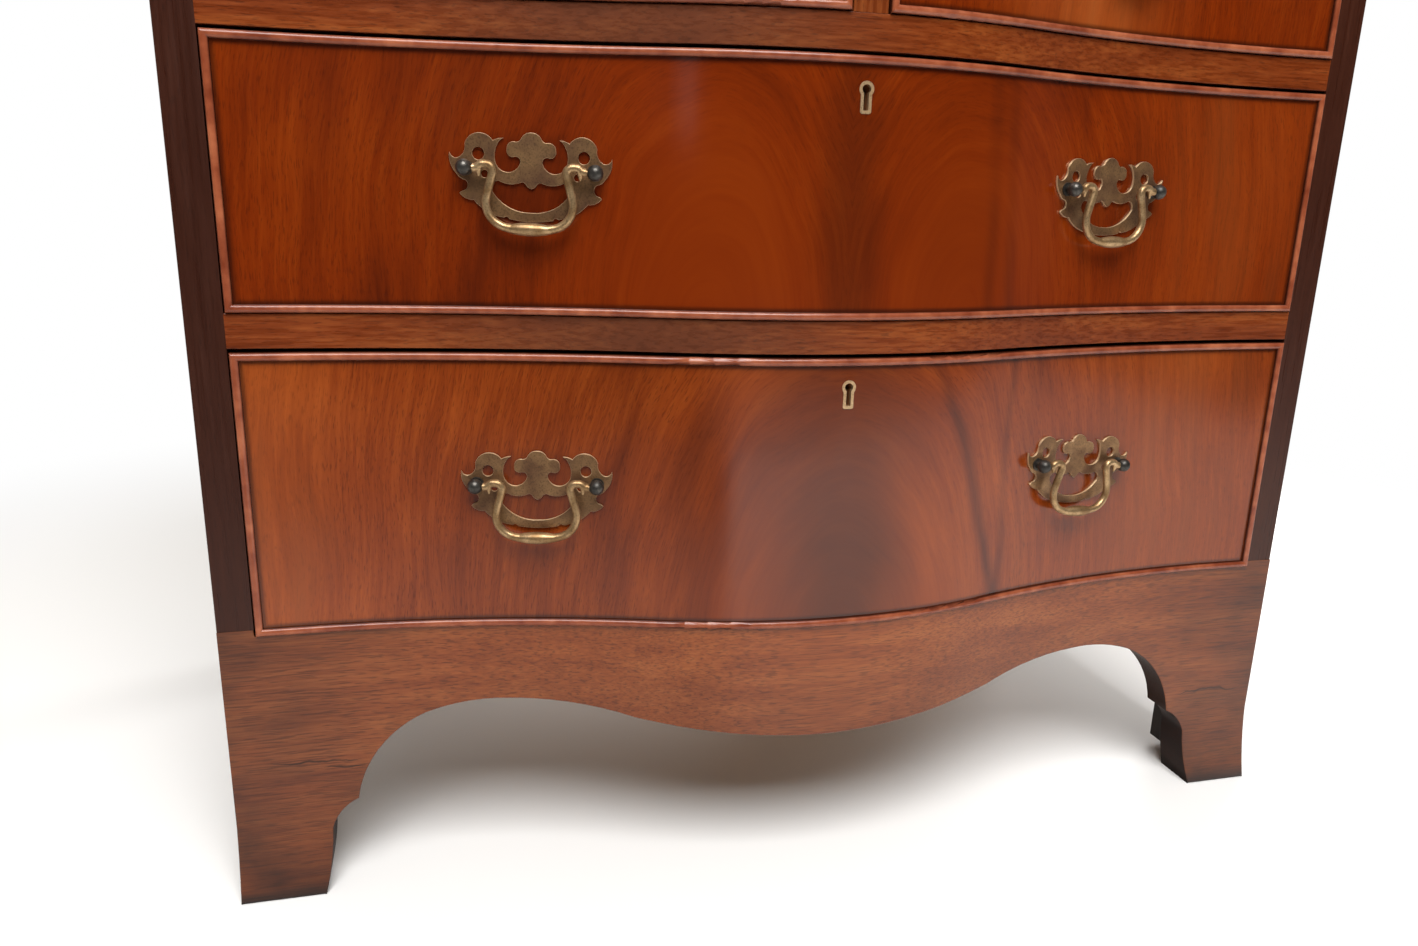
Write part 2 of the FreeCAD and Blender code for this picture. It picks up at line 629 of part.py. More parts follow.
def drawer_box(drawer):
    """Front, sides, back and bottom panel of a drawer, dovetailed and grooved together."""
    top = drawer.floor + drawer.height
    side_top = top - BOX_SIDE_DROP
    panel_z = drawer.floor + PANEL_RISE
    outer = (drawer.left + BOX_INSET, drawer.right - BOX_INSET)
    back_y = DRAWER_REAR_Y - BOX_BACK
    front = front_blank(drawer)
    back = box(outer[0], outer[1], back_y, DRAWER_REAR_Y, panel_z + PANEL_THICKNESS,
               side_top - BOX_BACK_DROP)
    panel = bowed_board(outer[0] + BOX_SIDE - PANEL_GROOVE, outer[1] - BOX_SIDE + PANEL_GROOVE,
                        panel_z, panel_z + PANEL_THICKNESS, PANEL_GROOVE - FRONT_THICKNESS,
                        back_y=DRAWER_REAR_Y)
    sides = []
    for x0, x1 in ((outer[0], outer[0] + BOX_SIDE), (outer[1] - BOX_SIDE, outer[1])):
        joint_y = front_y((x0 + x1) / 2, -FRONT_THICKNESS)
        board = box(x0, x1, joint_y - TAIL_LENGTH / 2, DRAWER_REAR_Y, drawer.floor, side_top)
        front_tails = dovetails(x0, x1, joint_y, joint_y - TAIL_LENGTH, drawer.floor, side_top)
        back_tails = dovetails(x0, x1, back_y, DRAWER_REAR_Y, panel_z + PANEL_THICKNESS,
                               side_top - BOX_BACK_DROP)
        board = board.cut([front, back]).fuse(front_tails + back_tails).removeSplitter()
        sides.append(board.cut(panel))
        front = front.cut(front_tails)
        back = back.cut(back_tails)
    return front.cut(panel), group(sides), back, panel


# Locks

def keyhole(grow, y0, y1):
    """A keyhole-shaped prism, a round head over a slot, grown all round, in the front's own frame."""
    half = KEY_SLOT_HALF_WIDTH + grow
    foot = -KEY_SLOT_LENGTH - grow
    corner = KEY_CORNER_RADIUS + grow / 2
    depth = Vector(0, y1 - y0, 0)
    head = Part.makeCylinder(KEY_HEAD_RADIUS + grow, depth.y, Vector(0, y0, 0), depth)
    slot = prism(upright_outline([
        (-half, 0, 0), (-half, foot + corner, -QUARTER_BULGE), (corner - half, foot, 0),
        (half - corner, foot, -QUARTER_BULGE), (half, foot + corner, 0), (half, 0, 0), (-half, 0, 0)],
        Vector(0, y0, 0)), depth)
    return head.fuse(slot).removeSplitter()


def escutcheon():
    """Brass thread escutcheon, let into the veneer and a little proud of it."""
    outer = keyhole(ESCUTCHEON_RIM, -ESCUTCHEON_PROUD, ESCUTCHEON_INSET)
    return outer.cut(keyhole(0.0, -2 * ESCUTCHEON_PROUD, 2 * ESCUTCHEON_INSET))


def lock_case(key_clear):
    """Lock with a plate over the front's top edge and a body behind, hollow for its bolt.

    In its own frame the key goes in at the origin, and the lock's top is KEY_DROP above it.
    """
    back_y = FRONT_THICKNESS
    half = LOCK_WIDTH / 2
    selvedge = box(-half, half, BEAD_DEPTH, back_y, KEY_DROP - LOCK_PLATE, KEY_DROP)
    plate = box(-half, half, back_y - LOCK_PLATE, back_y, KEY_DROP - LOCK_HEIGHT, KEY_DROP)
    body = box(-LOCK_BODY_WIDTH / 2, LOCK_BODY_WIDTH / 2, back_y - LOCK_DEPTH, back_y,
               KEY_DROP - LOCK_HEIGHT, KEY_DROP)
    return selvedge.fuse([plate, body]).removeSplitter().cut([bolt_blank(BOLT_CLEARANCE), key_clear])


def lock_pocket():
    """Space that the lock needs in a drawer front, open to the inside of the drawer."""
    inside_y = FRONT_THICKNESS + LOCK_DEPTH
    half = LOCK_WIDTH / 2
    return box(-half, half, BEAD_DEPTH, inside_y, KEY_DROP - LOCK_PLATE, KEY_DROP).fuse([
        box(-half, half, FRONT_THICKNESS - LOCK_PLATE, inside_y, KEY_DROP - LOCK_HEIGHT, KEY_DROP),
        box(-LOCK_BODY_WIDTH / 2, LOCK_BODY_WIDTH / 2, FRONT_THICKNESS - LOCK_DEPTH, inside_y,
            KEY_DROP - LOCK_HEIGHT, KEY_DROP)])


def bolt_blank(grow):
    """Block of the bolt, or with a clearance the hollow that it slides in, open at the top."""
    half = BOLT_WIDTH / 2 + grow
    half_thick = BOLT_THICKNESS / 2 + grow
    top = KEY_DROP if grow else KEY_DROP - BOLT_CLEARANCE
    return box(-half, half, BOLT_Y - half_thick, BOLT_Y + half_thick,
               KEY_DROP - BOLT_CLEARANCE - BOLT_HEIGHT - grow, top)


def lock_bolt():
    """Bolt at rest in its lock, with a hollow in its foot where the key bit lifts it."""
    bolt = bolt_blank(0.0)
    foot = Vector(0, 0, bolt.BoundBox.ZMin)
    talon = Part.makeCylinder(BOLT_TALON_RADIUS, 2 * FRONT_THICKNESS, foot, Vector(0, 1, 0))
    return bolt.cut(talon)


def bolt_mortise():
    """Slot in the rail above, wide and high enough for the thrown bolt."""
    half = BOLT_WIDTH / 2 + MORTISE_MARGIN
    half_thick = BOLT_THICKNESS / 2 + MORTISE_MARGIN
    return box(-half, half, BOLT_Y - half_thick, BOLT_Y + half_thick,
               KEY_DROP, KEY_DROP + BOLT_TRAVEL + MORTISE_MARGIN)


# Handles

def scaled(points):
    """Handle points in millimetres, from hundredths of the distance between the posts."""
    unit = POST_CENTRES / 100
    return [(x * unit, z * unit, bulge) for x, z, bulge in points]


def plate_blank():
    """Pierced plate as a thick prism through the front, in the front's own frame."""
    depth = Vector(0, 2 * FRONT_THICKNESS, 0)
    blank = prism(both_halves(scaled(PLATE_OUTLINE)), depth)
    cuts = [prism(both_halves(scaled(PLATE_OPENING)), depth)]
    for x, z, radius in scaled((PLATE_LOBE_HOLE, PLATE_SCROLL_HOLE)):
        hole_radius = radius * POST_CENTRES / 100
        for side in (-1, 1):
            cuts.append(Part.makeCylinder(hole_radius, depth.y, Vector(side * x, 0, z), Vector(0, 1, 0)))
    blank = blank.cut(cuts)
    blank.translate(Vector(0, -FRONT_THICKNESS, 0))
    return blank


def along_posts(make_post_shape):
    """The same shape at both posts of a handle."""
    shapes = []
    for side in (-1, 1):
        shape = make_post_shape(side)
        shape.translate(Vector(side * HALF_CENTRES, 0, 0))
        shapes.append(shape)
    return shapes


def post_hole(_side):
    """Bore through the plate and the drawer front for a post's shank."""
    radius = POST_SHANK_RADIUS + POST_HOLE_CLEARANCE
    return Part.makeCylinder(radius, 3 * FRONT_THICKNESS, Vector(0, -FRONT_THICKNESS, 0), Vector(0, 1, 0))


def post_head(side):
    """Collar, neck and ball of a post, bored on its inner side for the bail's pin."""
    into = Vector(0, 1, 0)
    ball_centre = Vector(0, -POST_STANDOFF, 0)
    ball = Part.makeSphere(POST_BALL_RADIUS, ball_centre)
    neck = Part.makeCylinder(POST_NECK_RADIUS, POST_STANDOFF, ball_centre, into)
    collar_y = -PLATE_SEAT_GAP - PLATE_THICKNESS - POST_COLLAR_HEIGHT
    collar = Part.makeCylinder(POST_COLLAR_RADIUS, -collar_y, Vector(0, collar_y, 0), into)
    bore = Part.makeCylinder(BAIL_PIN_RADIUS + BAIL_PIN_CLEARANCE, 2 * POST_BALL_RADIUS, ball_centre,
                             Vector(-side, 0, 0))
    return ball.fuse([neck, collar]).cut(bore)


def post_shank(_side):
    """Threaded shank of a post through the front, from the veneer to past its nut."""
    start = Vector(0, -PLATE_SEAT_GAP - PLATE_THICKNESS - POST_COLLAR_HEIGHT, 0)
    length = -start.y + FRONT_THICKNESS + POST_END
    return Part.makeCylinder(POST_SHANK_RADIUS, length, start, Vector(0, 1, 0))


def post_nut(_side):
    """Hexagonal nut on a post's shank, started inside the wood so that it can be cut to its seat."""
    corners = [Vector(NUT_RADIUS * math.cos(math.radians(60 * i)), FRONT_THICKNESS / 2,
                      NUT_RADIUS * math.sin(math.radians(60 * i))) for i in range(6)]
    edges = [line(a, b) for a, b in zip(corners, corners[1:] + corners[:1])]
    length = FRONT_THICKNESS / 2 + NUT_THICKNESS
    return prism(edges, Vector(0, length, 0))


def handle_posts(front, seat, place):
    """Two posts, their collars cut to their seat on the plate, and two nuts seated inside the front."""
    heads = [on_front(head, *place).cut(seat) for head in along_posts(post_head)]
    shanks = [on_front(shank, *place) for shank in along_posts(post_shank)]
    nuts = [on_front(nut, *place).cut([front, shank]) for nut, shank in zip(along_posts(post_nut), shanks)]
    posts = [head.fuse(shank).removeSplitter() for head, shank in zip(heads, shanks)]
    return posts + nuts


def rounded_path(corners, radii):
    """Straight runs joined by tangent arcs, in the XZ plane."""
    points = [Vector(x, 0, z) for x, z in corners]
    edges = []
    here = points[0]
    for before, corner, after, radius in zip(points, points[1:], points[2:], radii):
        back = (before - corner).normalize()
        ahead = (after - corner).normalize()
        half_turn = back.getAngle(ahead) / 2
        reach = radius / math.tan(half_turn)
        start, end = corner + back * reach, corner + ahead * reach
        inward = (back + ahead).normalize()
        middle = corner + inward * (radius / math.sin(half_turn) - radius)
        edges += [line(here, start), arc(start, middle, end)]
        here = end
    edges.append(line(here, points[-1]))
    return edges


def bail():
    """Swan-neck bail about its own hinge line: pins, necks, stop spurs and a swelling grip."""
    unit = POST_CENTRES / 100
    wire_end = HALF_CENTRES - POST_BALL_RADIUS - BAIL_SHOULDER_GAP
    hump_start = wire_end - BAIL_HUMP_RUN
    middle, corner, shoulder = ((x * unit, z * unit) for x, z in (BAIL_MIDDLE, BAIL_CORNER, BAIL_SHOULDER))
    hump = [(hump_start - BAIL_HUMP_REACH, shoulder[1]), (hump_start, 0.0)]
    right = [corner, shoulder] + hump + [(wire_end, 0.0)]
    left = [(-x, z) for x, z in reversed(right)]
    radii = [BAIL_CORNER_RADIUS, BAIL_SHOULDER_RADIUS, BAIL_HUMP_RADIUS, BAIL_HUMP_RADIUS]
    path = Part.Wire(rounded_path(left + [middle] + right, radii[::-1] + [BAIL_MIDDLE_RADIUS] + radii))
    section = Part.Wire([Part.makeCircle(BAIL_RADIUS, Vector(-wire_end, 0, 0), Vector(1, 0, 0))])
    wire = path.makePipeShell([section], True, False)
    pieces = [bail_grip(BAIL_GRIP_HALF_LENGTH * unit, BAIL_GRIP_Z * unit)]
    for side in (-1, 1):
        out = Vector(side, 0, 0)
        pieces.append(Part.makeCylinder(BAIL_PIN_RADIUS, BAIL_RADIUS + BAIL_PIN_LENGTH,
                                        out * (wire_end - BAIL_RADIUS), out))
        pieces.append(Part.makeCone(BAIL_SPUR_RADIUS, BAIL_SPUR_TIP_RADIUS, BAIL_SPUR_LENGTH,
                                    out * (wire_end - BAIL_SPUR_REACH), Vector(0, 0, -1)))
    return wire.fuse(pieces).removeSplitter()


def bail_grip(half_length, z):
    """Spindle along the bottom of a bail, thickest in its middle, its ends inside the wire."""
    left, right = Vector(-half_length, 0, z), Vector(half_length, 0, z)
    up = Vector(0, 0, BAIL_GRIP_END_RADIUS)
    crown = Vector(0, 0, z + BAIL_GRIP_RADIUS)
    outline = [line(left, left + up), arc(left + up, crown, right + up), line(right + up, right),
               line(right, left)]
    return Part.Face(Part.Wire(outline)).revolve(Vector(0, 0, z), Vector(1, 0, 0), 360)


# Assembly

def handle_set(drawer, front):
    """Plates, posts and bails of one drawer, and the bores that its front needs for them."""
    top = drawer.floor + drawer.height
    span = (drawer.left, drawer.right, drawer.floor, top)
    plate_face = PLATE_SEAT_GAP + PLATE_THICKNESS
    slab = bowed_board(*span, plate_face, PLATE_THICKNESS)
    seat = bowed_board(*span, plate_face, plate_face + FRONT_THICKNESS)
    plates, posts, bails, bores = [], [], [], []
    hanging = bail()
    hanging.translate(Vector(0, -POST_STANDOFF, 0))
    for handle in drawer.handles:
        place = (handle.x, top - handle.drop, handle.tilt)
        holes = [on_front(hole, *place) for hole in along_posts(post_hole)]
        plates.append(slab.common(on_front(plate_blank(), *place)).cut(holes))
        posts += handle_posts(front, seat, place)
        bails.append(on_front(hanging, *place))
        bores += holes
    return plates, posts, bails, bores


def bail_name(drawer, index):
    """Node name of a drawer's bail: the long drawers have a left and a right one."""
    if len(drawer.handles) == 1:
        return f"{drawer.name}_bail"
    return f"{drawer.name}_bail_{('left', 'right')[index]}"


def drawer_nodes(drawer):
    """All nodes of one drawer by name."""
    front, sides, back, panel = drawer_box(drawer)
    key_z = drawer.floor + drawer.height - KEY_DROP
    key_clear = keyhole(0.0, 0.0, BOLT_Y)
    bead = cock_bead(drawer)
    lock = on_front(lock_case(key_clear), drawer.lock_x, key_z).cut(bead)
    pocket = on_front(lock_pocket(), drawer.lock_x, key_z)
    seat = on_front(keyhole(ESCUTCHEON_RIM, -FRONT_THICKNESS, ESCUTCHEON_INSET), drawer.lock_x, key_z)
    key_bore = on_front(key_clear, drawer.lock_x, key_z)
    plates, posts, bails, bores = handle_set(drawer, front)
    nodes = {
        "front": front.cut([pocket, seat, key_bore] + bores),
        "cock_bead": bead,
        "sides": sides,
        "back": back,
        "bottom": panel,
        "lock_case": lock,
        "lock_bolt": on_front(lock_bolt(), drawer.lock_x, key_z),
        "escutcheon": on_front(escutcheon(), drawer.lock_x, key_z),
        "handle_plates": group(plates),
        "handle_posts": group(posts),
    }
    named = {f"{drawer.name}_{piece}": shape for piece, shape in nodes.items()}
    for index, shape in enumerate(bails):
        named[bail_name(drawer, index)] = shape
    return named


def case_nodes():
    """All nodes of the case by name."""
    apron = front_apron()
    bottom = case_bottom()
    divider = short_drawer_divider()
    rails = [drawer_rail(z) for z in (LOWER_RAIL_Z, UPPER_RAIL_Z, TOP_RAIL_Z)]
    mortises = [on_front(bolt_mortise(), drawer.lock_x, drawer.floor + drawer.height - KEY_DROP)
                for drawer in DRAWERS]
    right_side = case_side([apron, bottom] + rails)
    right_base = side_base(apron)
    rear_bracket = rear_foot_bracket()
    lower_rail, upper_rail, top_rail = (rail.cut([divider] + mortises) for rail in rails)
    return {
        "top_board": top_board(),
        "left_case_side": mirrored(right_side),
        "right_case_side": right_side,
        "case_bottom": bottom,
        "back_boards": back_boards(),
        "top_rail": top_rail,
        "drawer_rails": group([lower_rail, upper_rail]),
        "short_drawer_divider": divider,
        "drawer_runners": drawer_runners(),
        "drawer_stops": drawer_stops(),
        "front_apron": apron,
        "side_bases": group([mirrored(right_base), right_base]),
        "rear_foot_brackets": group([mirrored(rear_bracket), rear_bracket]),
        "foot_blocks": foot_blocks(),
    }


def main():
    """Build every node and write it to its own file."""
    os.makedirs("parts", exist_ok=True)
    nodes = case_nodes()
    for drawer in DRAWERS:
        nodes.update(drawer_nodes(drawer))
    for name, shape in nodes.items():
        shape.exportStep(f"parts/{name}.step")
    print(f"{len(nodes)} nodes, {sum(len(shape.Solids) for shape in nodes.values())} solids")


if __name__ == "__main__":
    main()
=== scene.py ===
"""Looks of a serpentine-front chest of drawers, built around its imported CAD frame.

Lengths are metres in the row frame: +Z is up, the front faces -Y, and +X is to the right.  A name that
ends in _mm holds millimetres.  Patterns are worked out from real sizes, such as the width of a pore.
"""

from __future__ import annotations

import json
import logging
import math
from collections.abc import Callable, Sequence
from dataclasses import dataclass, replace
from enum import Enum

import bmesh
import bpy
from mathutils import Matrix, Vector

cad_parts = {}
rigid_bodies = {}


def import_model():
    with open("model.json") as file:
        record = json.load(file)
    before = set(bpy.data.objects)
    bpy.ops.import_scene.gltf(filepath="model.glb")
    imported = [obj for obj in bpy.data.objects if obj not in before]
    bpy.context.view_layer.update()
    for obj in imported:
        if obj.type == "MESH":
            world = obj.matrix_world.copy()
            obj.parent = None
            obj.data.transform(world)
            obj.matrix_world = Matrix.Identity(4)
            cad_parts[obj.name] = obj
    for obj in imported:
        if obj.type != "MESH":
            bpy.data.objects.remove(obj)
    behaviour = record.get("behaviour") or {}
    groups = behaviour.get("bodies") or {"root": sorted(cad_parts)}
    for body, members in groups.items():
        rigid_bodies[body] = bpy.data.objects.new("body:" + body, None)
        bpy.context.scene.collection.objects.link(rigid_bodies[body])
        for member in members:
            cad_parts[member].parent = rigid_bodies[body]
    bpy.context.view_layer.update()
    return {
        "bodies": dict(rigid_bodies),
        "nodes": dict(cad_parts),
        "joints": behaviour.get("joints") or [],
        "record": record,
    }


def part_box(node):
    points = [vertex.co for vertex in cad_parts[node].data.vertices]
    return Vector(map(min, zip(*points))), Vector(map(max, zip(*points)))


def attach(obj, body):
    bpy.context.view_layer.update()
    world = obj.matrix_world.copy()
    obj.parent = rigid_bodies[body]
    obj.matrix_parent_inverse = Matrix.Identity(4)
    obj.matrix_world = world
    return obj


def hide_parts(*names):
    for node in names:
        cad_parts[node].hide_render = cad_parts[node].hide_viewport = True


LOG = logging.getLogger("chest")
MM = 0.001
PHOTO_WIDTH_PX = 1418

# The plane of the stiles' front edges, and the outer face of the back boards
FRONT_Y = -0.175
BACK_Y = 0.240
FRONT_THICKNESS_MM = 22.0
BEAD_WIDTH_MM = 5.0

# How far along an axis a face's normal points where the face is square to it, looks along it or leans to it
SQUARE_ON = 0.9
LOOKS = 0.6
LEANS = 0.3
# A top face's normal rises at least this far
UPWARD = 0.5
# An edge below this height lies on the floor
FLOOR_EDGE = 2 * MM

Socket = bpy.types.NodeSocket
EdgeTest = Callable[[Vector, Vector, Vector], bool]


def linear(hex_colour: str) -> tuple[float, float, float, float]:
    """Turn an sRGB colour into linear light.

    Args:
        hex_colour: Six hexadecimal digits, with or without a leading hash.

    Returns:
        Red, green, blue and an alpha of one.
    """
    digits = hex_colour.lstrip("#")
    parts = [int(digits[i:i + 2], 16) / 255 for i in (0, 2, 4)]
    red, green, blue = (c / 12.92 if c <= 0.04045 else ((c + 0.055) / 1.055) ** 2.4 for c in parts)
    return red, green, blue, 1.0


class Tree:
    """The node tree of one material, or of the world.

    Inputs are given by name or by place.  A range node's are 0 for the value, 1 and 2 for the span that it
    comes from, and 3 and 4 for the span that it goes to.  A mix node's are 0 for the share, 2 and 3 for two
    numbers, and 6 and 7 for two colours.
    """

    def __init__(self, owner: bpy.types.Material | bpy.types.World) -> None:
        """Start with an empty tree.

        Args:
            owner: The material or world that the tree belongs to.
        """
        owner.use_nodes = True
        self.tree = owner.node_tree
        self.tree.nodes.clear()

    def add(self, kind: str, links: dict | None = None, out: int | str = 0,
            stops: Sequence[tuple[float, str]] = (), **settings: object) -> Socket | None:
        """Add a node with its settings and links.

        Args:
            kind: Blender's type of node, without the ShaderNode that it starts with.
            links: For each input, by name or index, a socket to link or a value to set.
            out: The output to return.
            stops: Positions and sRGB colours, where the node is a colour ramp: first its two ends.
            settings: The node's own properties.

        Returns:
            The chosen output of the new node, where it has one.
        """
        node = self.tree.nodes.new(f"ShaderNode{kind}")
        for key, value in settings.items():
            setattr(node, key, value)
        for index, (position, colour) in enumerate(stops):
            ramp = node.color_ramp.elements
            stop = ramp[index] if index < len(ramp) else ramp.new(position)
            stop.position, stop.color = position, linear(colour)
        for key, value in (links or {}).items():
            if isinstance(value, Socket):
                self.tree.links.new(value, node.inputs[key])
            else:
                node.inputs[key].default_value = value
        return node.outputs[out] if len(node.outputs) else None


class Grain(Enum):
    """The way that the wood's fibres run in a piece, as the number of its axis."""

    ACROSS = 0
    DEEP = 1
    UPRIGHT = 2


class Show(Enum):
    """The faces of a piece that were polished for show: the others are raw, dark with age and with painted
    shade.
    """

    ALL = "all"
    FRONT = "front"
    OUTER = "outer"


def stretched(tree: Tree, place: Socket, sizes_mm: Sequence[float], detail: float, shift: float) -> Socket:
    """A cloudy pattern whose patches have a given size along each axis.

    Args:
        tree: The material's tree.
        place: Coordinates in metres.
        sizes_mm: Length of a patch along X, Y and Z.
        detail: Octaves of finer detail.
        shift: Moves the pattern, so that layers differ.

    Returns:
        A value that lies around a half.
    """
    scale = [1 / (size * MM) for size in sizes_mm]
    spread = tree.add("Mapping", {"Vector": place, "Location": [shift] * 3, "Scale": scale})
    return tree.add("TexNoise", {"Vector": spread, "Scale": 1.0, "Detail": detail})


def stain(tree: Tree, colour: Socket, amount: Socket, tint: str) -> Socket:
    """Lay a flat tint over a colour.

    Args:
        tree: The material's tree.
        colour: The colour underneath.
        amount: How much of the tint covers it, from nought to one.
        tint: The tint as an sRGB colour.

    Returns:
        The stained colour.
    """
    return tree.add("Mix", {0: amount, 6: colour, 7: linear(tint)}, 2, data_type="RGBA")


@dataclass(frozen=True)
class Crack:
    """A short drying crack along the grain of the apron."""

    start_x: float
    end_x: float
    z: float
    width_mm: float = 1.4


@dataclass(frozen=True)
class Sawn:
    """Straight-grained wood, sawn and then waxed, oiled or left bare.

    A pair of sizes gives the length of a patch across the grain and along it.
    """

    name: str
    grain: Grain
    dark: str
    middle: str
    pale: str
    pore: str
    figure_mm: tuple[float, float] = (16.0, 240.0)
    streak_mm: tuple[float, float] = (2.4, 60.0)
    pore_mm: tuple[float, float] = (0.7, 7.0)
    pore_share: float = 0.42
    pore_depth: float = 0.5
    roughness: float = 0.34
    shine: float = 0.5
    bump_mm: float = 0.2
    show: Show = Show.ALL
    # How dark the raw faces get, painted shade included
    raw_and_shade_dark: float = 0.9
    foot_wear: float = 0.0
    front_dark: float = 0.0
    dull_x: float | None = None
    cracks: tuple[Crack, ...] = ()

    def sizes(self, across_along: tuple[float, float]) -> list[float]:
        """Patch sizes along X, Y and Z from the sizes across and along the grain."""
        across, along = across_along
        return [along if axis == self.grain.value else across for axis in range(3)]

    def build(self) -> bpy.types.Material:
        """Make the material.

        Returns:
            A wood with growth figure, streaks and short dark pores along its grain.
        """
        material = bpy.data.materials.new(self.name)
        tree = Tree(material)
        place = tree.add("TexCoord", out="Object")
        figure = stretched(tree, place, self.sizes(self.figure_mm), 3.0, 3.1)
        streak = stretched(tree, place, self.sizes(self.streak_mm), 3.0, 7.7)
        pores = stretched(tree, place, self.sizes(self.pore_mm), 1.0, 1.3)
        both = tree.add("Mix", {0: 0.5, 2: figure, 3: streak})
        wood = tree.add("ValToRGB", {0: both},
                        stops=((0.32, self.dark), (0.68, self.pale), (0.5, self.middle)))
        open_pore = tree.add("MapRange", {0: pores, 1: self.pore_share - 0.1,
                                          2: self.pore_share, 3: self.pore_depth, 4: 0.0})
        colour = stain(tree, wood, open_pore, self.pore)
        if self.foot_wear:
            colour = self.worn_feet(tree, place, figure, colour)
        if self.front_dark:
            colour = self.waxed_edge(tree, place, colour)
        if self.dull_x is not None:
            colour = self.dulled(tree, place, colour)
        for crack in self.cracks:
            colour = self.cracked(tree, place, colour, crack)
        shine = self.shine
        if self.show is not Show.ALL:
            # Raw faces: unpolished dark wood with painted shade, wherever they turn away from the front and
            # the outside
            raw_and_shade_tint, dry_shine = "#120A07", 0.05
            raw = self.raw_and_shaded_faces(tree, place)
            colour = stain(tree, colour, raw, raw_and_shade_tint)
            shine = tree.add("MapRange", {0: raw, 1: 0.0, 2: self.raw_and_shade_dark, 3: self.shine, 4: dry_shine})
        gloss = tree.add("MapRange", {0: streak, 1: 0.3, 2: 0.7, 3: self.roughness - 0.05,
                                      4: self.roughness + 0.07})
        relief = tree.add("Mix", {0: 0.7, 2: streak, 3: pores})
        normal = tree.add("Bump", {"Height": relief, "Distance": self.bump_mm * MM, "Strength": 0.5})
        shader = tree.add("BsdfPrincipled", {"Base Color": colour, "Roughness": gloss,
                                             "Normal": normal, "Specular IOR Level": shine})
        tree.add("OutputMaterial", {"Surface": shader})
        return material

    def worn_feet(self, tree: Tree, place: Socket, ragged: Socket, colour: Socket) -> Socket:
        """Darken the feet: dirt that thickens downwards and outwards, and a scuffed band along the bottom.

        Args:
            tree: The material's tree.
            place: Coordinates in metres.
            ragged: A pattern that makes the band's edge uneven.
            colour: The clean wood.

        Returns:
            The dirty wood.
        """
        dirt_tint, scuff_tint = "#2A140B", "#1A0F0A"
        inner_x, outer_x = 0.25, 0.395
        dirty_z, clean_z = 0.03, 0.17
        height = tree.add("SeparateXYZ", {0: place}, "Z")
        cloud = stretched(tree, place, (45, 45, 28), 4.0, 13.0)
        x = tree.add("SeparateXYZ", {0: place}, "X")
        out = tree.add("Math", {0: x}, operation="ABSOLUTE")
        end = tree.add("MapRange", {0: out, 1: inner_x, 2: outer_x, 3: 0.0, 4: 1.1})
        low = tree.add("MapRange", {0: height, 1: dirty_z, 2: clean_z, 3: 1.15, 4: 0.0})
        reach = tree.add("Math", {0: end, 1: low}, operation="MAXIMUM")
        dirt = tree.add("Math", {0: reach, 1: cloud}, operation="MULTIPLY")
        colour = stain(tree, colour, dirt, dirt_tint)
        band = tree.add("Math", {0: ragged, 1: 0.036, 2: -0.0035}, operation="MULTIPLY_ADD")
        scuffed = tree.add("MapRange", {0: height, 1: 0.0, 2: band, 3: self.foot_wear, 4: 0.0},
                           interpolation_type="SMOOTHSTEP")
        return stain(tree, colour, scuffed, scuff_tint)

    def waxed_edge(self, tree: Tree, place: Socket, colour: Socket) -> Socket:
        """Blacken a stile's front edge with old wax, which fades out along the side behind it.

        Args:
            tree: The material's tree.
            place: Coordinates in metres.
            colour: The wood.

        Returns:
            The blackened wood.
        """
        wax_tint, full_mm, clear_mm = "#2C140C", 0.5, 20.0
        depth = tree.add("SeparateXYZ", {0: place}, "Y")
        edge = tree.add("MapRange", {0: depth, 1: FRONT_Y + full_mm * MM,
                                     2: FRONT_Y + clear_mm * MM, 3: self.front_dark, 4: 0.0})
        return stain(tree, colour, edge, wax_tint)

    def dulled(self, tree: Tree, place: Socket, colour: Socket) -> Socket:
        """Dull the wood round one place along a rail.

        Args:
            tree: The material's tree.
            place: Coordinates in metres.
            colour: The wood.

        Returns:
            The dulled wood.
        """
        dust_tint, full, clear = "#4A3326", 0.02, 0.19
        x = tree.add("SeparateXYZ", {0: place}, "X")
        off = tree.add("Math", {0: x, 1: self.dull_x}, operation="SUBTRACT")
        away = tree.add("Math", {0: off}, operation="ABSOLUTE")
        dull = tree.add("MapRange", {0: away, 1: full, 2: clear, 3: 0.5, 4: 0.0},
                        interpolation_type="SMOOTHSTEP")
        return stain(tree, colour, dull, dust_tint)

    def cracked(self, tree: Tree, place: Socket, colour: Socket, crack: Crack) -> Socket:
        """Draw one dark crack that wavers and tapers.

        Args:
            tree: The material's tree.
            place: Coordinates in metres.
            colour: The sound wood.
            crack: Where the crack runs.

        Returns:
            The cracked wood.
        """
        crack_tint, waver = "#160B06", 0.012
        x = tree.add("SeparateXYZ", {0: place}, "X")
        z = tree.add("SeparateXYZ", {0: place}, "Z")
        noise = stretched(tree, place, (26, 26, 26), 3.0, 17.0)
        level = tree.add("Math", {0: noise, 1: waver, 2: crack.z - waver / 2}, operation="MULTIPLY_ADD")
        off = tree.add("Math", {0: z, 1: level}, operation="SUBTRACT")
        away = tree.add("Math", {0: off}, operation="ABSOLUTE")
        middle, half = (crack.start_x + crack.end_x) / 2, (crack.end_x - crack.start_x) / 2
        along = tree.add("Math", {0: x, 1: middle}, operation="SUBTRACT")
        out = tree.add("Math", {0: along}, operation="ABSOLUTE")
        width = tree.add("MapRange", {0: out, 1: half * 0.3, 2: half, 3: crack.width_mm * MM, 4: 0.0})
        line = tree.add("MapRange", {0: away, 1: 0.0, 2: width, 3: 0.85, 4: 0.0})
        return stain(tree, colour, line, crack_tint)

